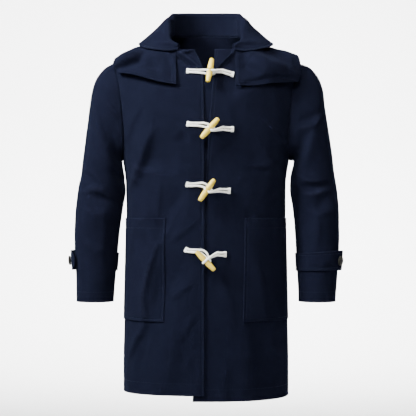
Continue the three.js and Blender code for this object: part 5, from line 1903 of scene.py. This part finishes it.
class Surface(Wiring):
    """A material in the making."""

    def __init__(self, name: str) -> None:
        """Starts a material with a plain shader.

        Args:
            name: its name.
        """
        self.material = bpy.data.materials.new(name)
        self.material.use_nodes = True
        super().__init__(self.material.node_tree)
        self.shader = next(node for node in self.tree.nodes if node.type == "BSDF_PRINCIPLED")

    def placed(self, tree: Tree, **values: float) -> dict[str, Socket]:
        """Places an effect's group with this material's own values, and gives its outputs."""
        return dict(self.node("ShaderNodeGroup", node_tree=tree, **values).outputs.items())

    def dress(self, **values: object) -> None:
        """Feeds the shader's inputs."""
        self.feed(self.shader, **values)

    def relief(self, height: Socket, strength: float, depth: float) -> None:
        """Gives the surface a relief of some depth in metres."""
        bump = self.node("ShaderNodeBump", Strength=strength, Distance=depth, Height=height)
        self.dress(Normal=bump.outputs["Normal"])


@dataclass(frozen=True)
class Finish:
    """What the finishes share."""

    effects: Effects

    def wire(self, made: Surface) -> None:
        """Wires the finish on a material; each finish has its own way."""
        raise NotImplementedError

    def material(self, name: str) -> Material:
        """Makes the finish.

        Args:
            name: its name.

        Returns:
            The material.
        """
        made = Surface(name)
        self.wire(made)
        return made.material


@dataclass(frozen=True)
class WoolFinish(Finish):
    """Navy milled wool."""

    # deep is the cloth's darker tone, and also the colour of the painted shade in the folds.
    deep: Colour = (0.0037, 0.0043, 0.0094, 1)
    light: Colour = (0.0046, 0.0054, 0.0116, 1)
    fibre: Colour = (0.0115, 0.0125, 0.024, 1)
    sheen_tint: Colour = (0.5, 0.6, 1.0, 1)
    sheen: float = 0.015
    pile: float = 900.0
    pile_depth: float = 0.0006

    def wire(self, made: Surface) -> None:
        """Wires the wool: clouded navy, with paler fibres, wear on the edges, and painted shade that darkens the folds.

        Args:
            made: the material.
        """
        nap = made.placed(self.effects.nap, Pile=self.pile)
        rubbed = made.placed(self.effects.rubbed)
        ground = made.blend(nap["Cloud"], self.deep, self.light)
        flecked = made.blend(made.share(nap["Fibre"], 0.35), ground, self.fibre)
        worn = made.blend(made.share(rubbed["Rubbed"], 0.3), flecked, self.fibre)
        made.dress(
            # Painted shade: creases and other concave places are darkened towards the deep navy.
            Base_Color=made.blend(made.share(rubbed["Deep"], 0.5), worn, self.deep),
            Roughness=made.math("ADD", 0.86, made.share(nap["Fibre"], 0.12)), Specular_IOR_Level=0.0,
            Sheen_Weight=self.sheen, Sheen_Roughness=0.45, Sheen_Tint=self.sheen_tint,
        )
        made.relief(nap["Height"], 0.7, self.pile_depth)


@dataclass(frozen=True)
class CordFinish(Finish):
    """Bleached cotton cord."""

    light: Colour = (1.0, 0.99, 0.92, 1)
    dull: Colour = (0.8, 0.79, 0.72, 1)
    # The colour of the painted shade between the yarns.
    shade: Colour = (0.72, 0.71, 0.63, 1)
    yarn_depth: float = 0.00025

    def wire(self, made: Surface) -> None:
        """Wires the cord: clouded white, with painted shade that darkens it between the yarns.

        Args:
            made: the material.
        """
        nap = made.placed(self.effects.nap, Pile=2600.0, Twill=1800.0, Fibres=900.0, Cloud=60.0)
        rubbed = made.placed(self.effects.rubbed)
        ground = made.blend(nap["Cloud"], self.light, self.dull)
        made.dress(
            # Painted shade: darker between the yarns.
            Base_Color=made.blend(made.share(rubbed["Deep"], 0.8), ground, self.shade),
            Roughness=made.math("ADD", 0.72, made.share(nap["Fibre"], 0.2)), Sheen_Weight=0.1,
        )
        made.relief(nap["Height"], 0.5, self.yarn_depth)


@dataclass(frozen=True)
class ToggleFinish(Finish):
    """Pale waxed wood with the grain along the toggle."""

    light: Colour = (0.74, 0.54, 0.045, 1)
    dark: Colour = (0.5, 0.33, 0.025, 1)
    # The colour of the painted shade in the waist.
    hollow: Colour = (0.24, 0.14, 0.05, 1)
    grain_depth: float = 0.0002

    def wire(self, made: Surface) -> None:
        """Wires the wood: streaked along the toggle, with painted shade that darkens its waist.

        Args:
            made: the material.
        """
        grain = made.placed(self.effects.grain)
        rubbed = made.placed(self.effects.rubbed)
        ground = made.blend(made.share(grain["Streak"], 0.55), self.light, self.dark)
        made.dress(
            # Painted shade: the waist is darkened in colour.
            Base_Color=made.blend(made.share(rubbed["Deep"], 0.7), ground, self.hollow),
            Roughness=made.math("ADD", 0.34, made.share(grain["Streak"], 0.16)), Coat_Weight=0.1, Coat_Roughness=0.25,
        )
        made.relief(grain["Height"], 0.35, self.grain_depth)


@dataclass(frozen=True)
class HornFinish(Finish):
    """Dark polished button horn, faintly streaked."""

    ground: Colour = (0.01, 0.01, 0.009, 1)
    streak: Colour = (0.034, 0.031, 0.025, 1)
    grain_depth: float = 0.0001

    def wire(self, made: Surface) -> None:
        """Wires the horn: nearly black, with faint streaks.

        Args:
            made: the material.
        """
        grain = made.placed(self.effects.grain, Fine=180.0, Coarse=90.0, Length=0.5)
        made.dress(
            Base_Color=made.blend(grain["Streak"], self.ground, self.streak),
            Roughness=made.math("ADD", 0.42, made.share(grain["Height"], 0.14)), Specular_IOR_Level=0.02,
        )
        made.relief(grain["Height"], 0.2, self.grain_depth)


@dataclass(frozen=True)
class ThreadFinish(Finish):
    """Sewing thread a little darker and smoother than the cloth."""

    colour: Colour = (0.0035, 0.005, 0.0125, 1)
    light: Colour = (0.006, 0.009, 0.019, 1)
    twist_depth: float = 0.0001

    def wire(self, made: Surface) -> None:
        """Wires the thread: navy, with a fine twist.

        Args:
            made: the material.
        """
        nap = made.placed(self.effects.nap, Pile=4000.0, Twill=2600.0, Fibres=1500.0)
        made.dress(
            Base_Color=made.blend(nap["Cloud"], self.colour, self.light),
            Roughness=made.math("ADD", 0.6, made.share(nap["Fibre"], 0.2)), Specular_IOR_Level=0.08,
        )
        made.relief(nap["Height"], 0.4, self.twist_depth)


@dataclass
class Studio:
    """A pale sweep, soft lights and the camera at the photograph's angle."""

    floor_z: float = -1.25
    reach: float = 4.8
    bend: float = 1.5
    wall: float = 5.0
    distance: float = 3.2
    frame: float = 1.04
    middle: tuple[float, float] = (0.005, -0.438)

    def build(self) -> None:
        """Makes the sweep, the lights and the camera."""
        paper = Surface("studio sweep")
        cloud = paper.noise(paper.node("ShaderNodeTexCoord").outputs["Object"], 3.0, 2.0).outputs["Fac"]
        paper.dress(Base_Color=paper.blend(cloud, (0.74, 0.74, 0.74, 1), (0.76, 0.76, 0.76, 1)), Roughness=0.9)
        bend = [math.radians(turn) for turn in range(0, 91, 9)]
        start = self.reach - self.bend
        profile = [(0.01, 0.0), (self.bend, 0.0), (start, 0.0)]
        profile += [(start + self.bend * math.sin(turn), self.bend - self.bend * math.cos(turn)) for turn in bend[1:]]
        profile += [(self.reach, 2 * self.bend), (self.reach, self.wall)]
        turns = np.linspace(0, 2 * np.pi, 65)[:-1]
        grid = np.array([[(r * np.cos(a), r * np.sin(a), z + self.floor_z) for a in turns] for r, z in profile]) / MM
        faces = ring_faces(*grid.shape[:2])[:-1]
        new_object("studio_sweep", grid.reshape(-1, 3), faces, paper.material)
        coat = (0.0, 0.0, -0.45)
        self.light("key", (-2.1, -1.25, 1.6), (-0.1, 0.0, -0.15), 0.9, 78, (0.88, 0.94, 1.0), spread=80.0)
        self.light("fill", (-0.4, -3.4, -0.3), coat, 1.6, 17, (1.0, 0.96, 0.9))
        self.light("top", (-0.3, -2.2, 1.6), (0.0, 0.0, 0.0), 0.8, 13, (1.0, 0.97, 0.93), spread=60.0)
        self.light("back", (1.8, 2.6, 1.2), coat, 1.6, 5)
        for name, x in (("sweep_left", -1.5), ("sweep_middle", 0.0), ("sweep_right", 1.5)):
            self.light(name, (x, 1.6, 2.2), (x * 0.9, self.reach, -0.9), 1.4, 190, spread=100.0)
        world = bpy.data.worlds.new("soft room")
        world.use_nodes = True
        world.node_tree.nodes["Background"].inputs["Color"].default_value = (1, 1, 1, 1)
        world.node_tree.nodes["Background"].inputs["Strength"].default_value = 0.1
        bpy.context.scene.world = world
        self.camera()

    @staticmethod
    def light(
        name: str, place: Point, target: Point, size: float, power: float, colour: Point = (1, 1, 1),
        spread: float = 180.0,
    ) -> None:
        """Adds a soft area light that looks at a target.

        Args:
            name: its name.
            place: where it stands, in metres.
            target: what it looks at.
            size: the side of its square.
            power: its power in watts.
            colour: its colour.
            spread: the angle that its beam spreads over, in degrees.
        """
        data = bpy.data.lights.new(name, "AREA")
        data.spread = math.radians(spread)
        data.size = size
        data.energy = power
        data.color = colour
        made = bpy.data.objects.new(name, data)
        made.location = place
        made.rotation_euler = (Vector(target) - Vector(place)).to_track_quat("-Z", "Y").to_euler()
        made.visible_camera = False
        bpy.context.scene.collection.objects.link(made)

    def camera(self) -> None:
        """Adds the camera."""
        data = bpy.data.cameras.new("camera")
        data.sensor_width = 36.0
        data.lens = 36.0 * self.distance / self.frame
        made = bpy.data.objects.new("camera", data)
        made.location = (self.middle[0], -self.distance, self.middle[1])
        made.rotation_euler = (math.pi / 2, 0, 0)
        bpy.context.scene.collection.objects.link(made)
        bpy.context.scene.camera = made


def plain(box: Sequence[Sequence[float]]) -> list[list[float]]:
    """A box as plain lists of numbers."""
    return [[float(value) for value in corner] for corner in box]


def main() -> None:
    """Builds the coat piece by piece, then the studio."""
    logging.basicConfig(level=logging.INFO, format="%(message)s")
    effects = Effects(woollen_nap(), rubbed_edges(), long_grain())
    cloth = WoolFinish(effects).material("navy wool")
    cord = CordFinish(effects).material("cotton cord")
    wood = ToggleFinish(effects).material("waxed wood")
    horn = HornFinish(effects).material("dark horn")
    thread = ThreadFinish(effects).material("navy thread")
    form = BodyForm()
    plan = Plan(form)
    tailor = Tailoring(cloth, thread)
    fronts = Fronts(plan, tailor)
    fronts.build()
    back = Back(plan, tailor)
    back.build()
    button = CuffButton(horn, thread)
    for side in Side:
        Sleeve(side, form, tailor).build(button)
    neck = {}
    for side in Side:
        ahead = fronts.top_edges[side]
        ahead = ahead[ahead[:, 0] < NECK_SIDE_X + 0.1]
        neck[side] = np.concatenate([ahead, back.top_edge])
    Hood(form, tailor, neck).build()
    for number in range(1, 5):
        Fastening(number, fronts, cord, wood).build()
    Studio().build()
    bpy.context.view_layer.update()


if __name__ == "__main__":
    main()
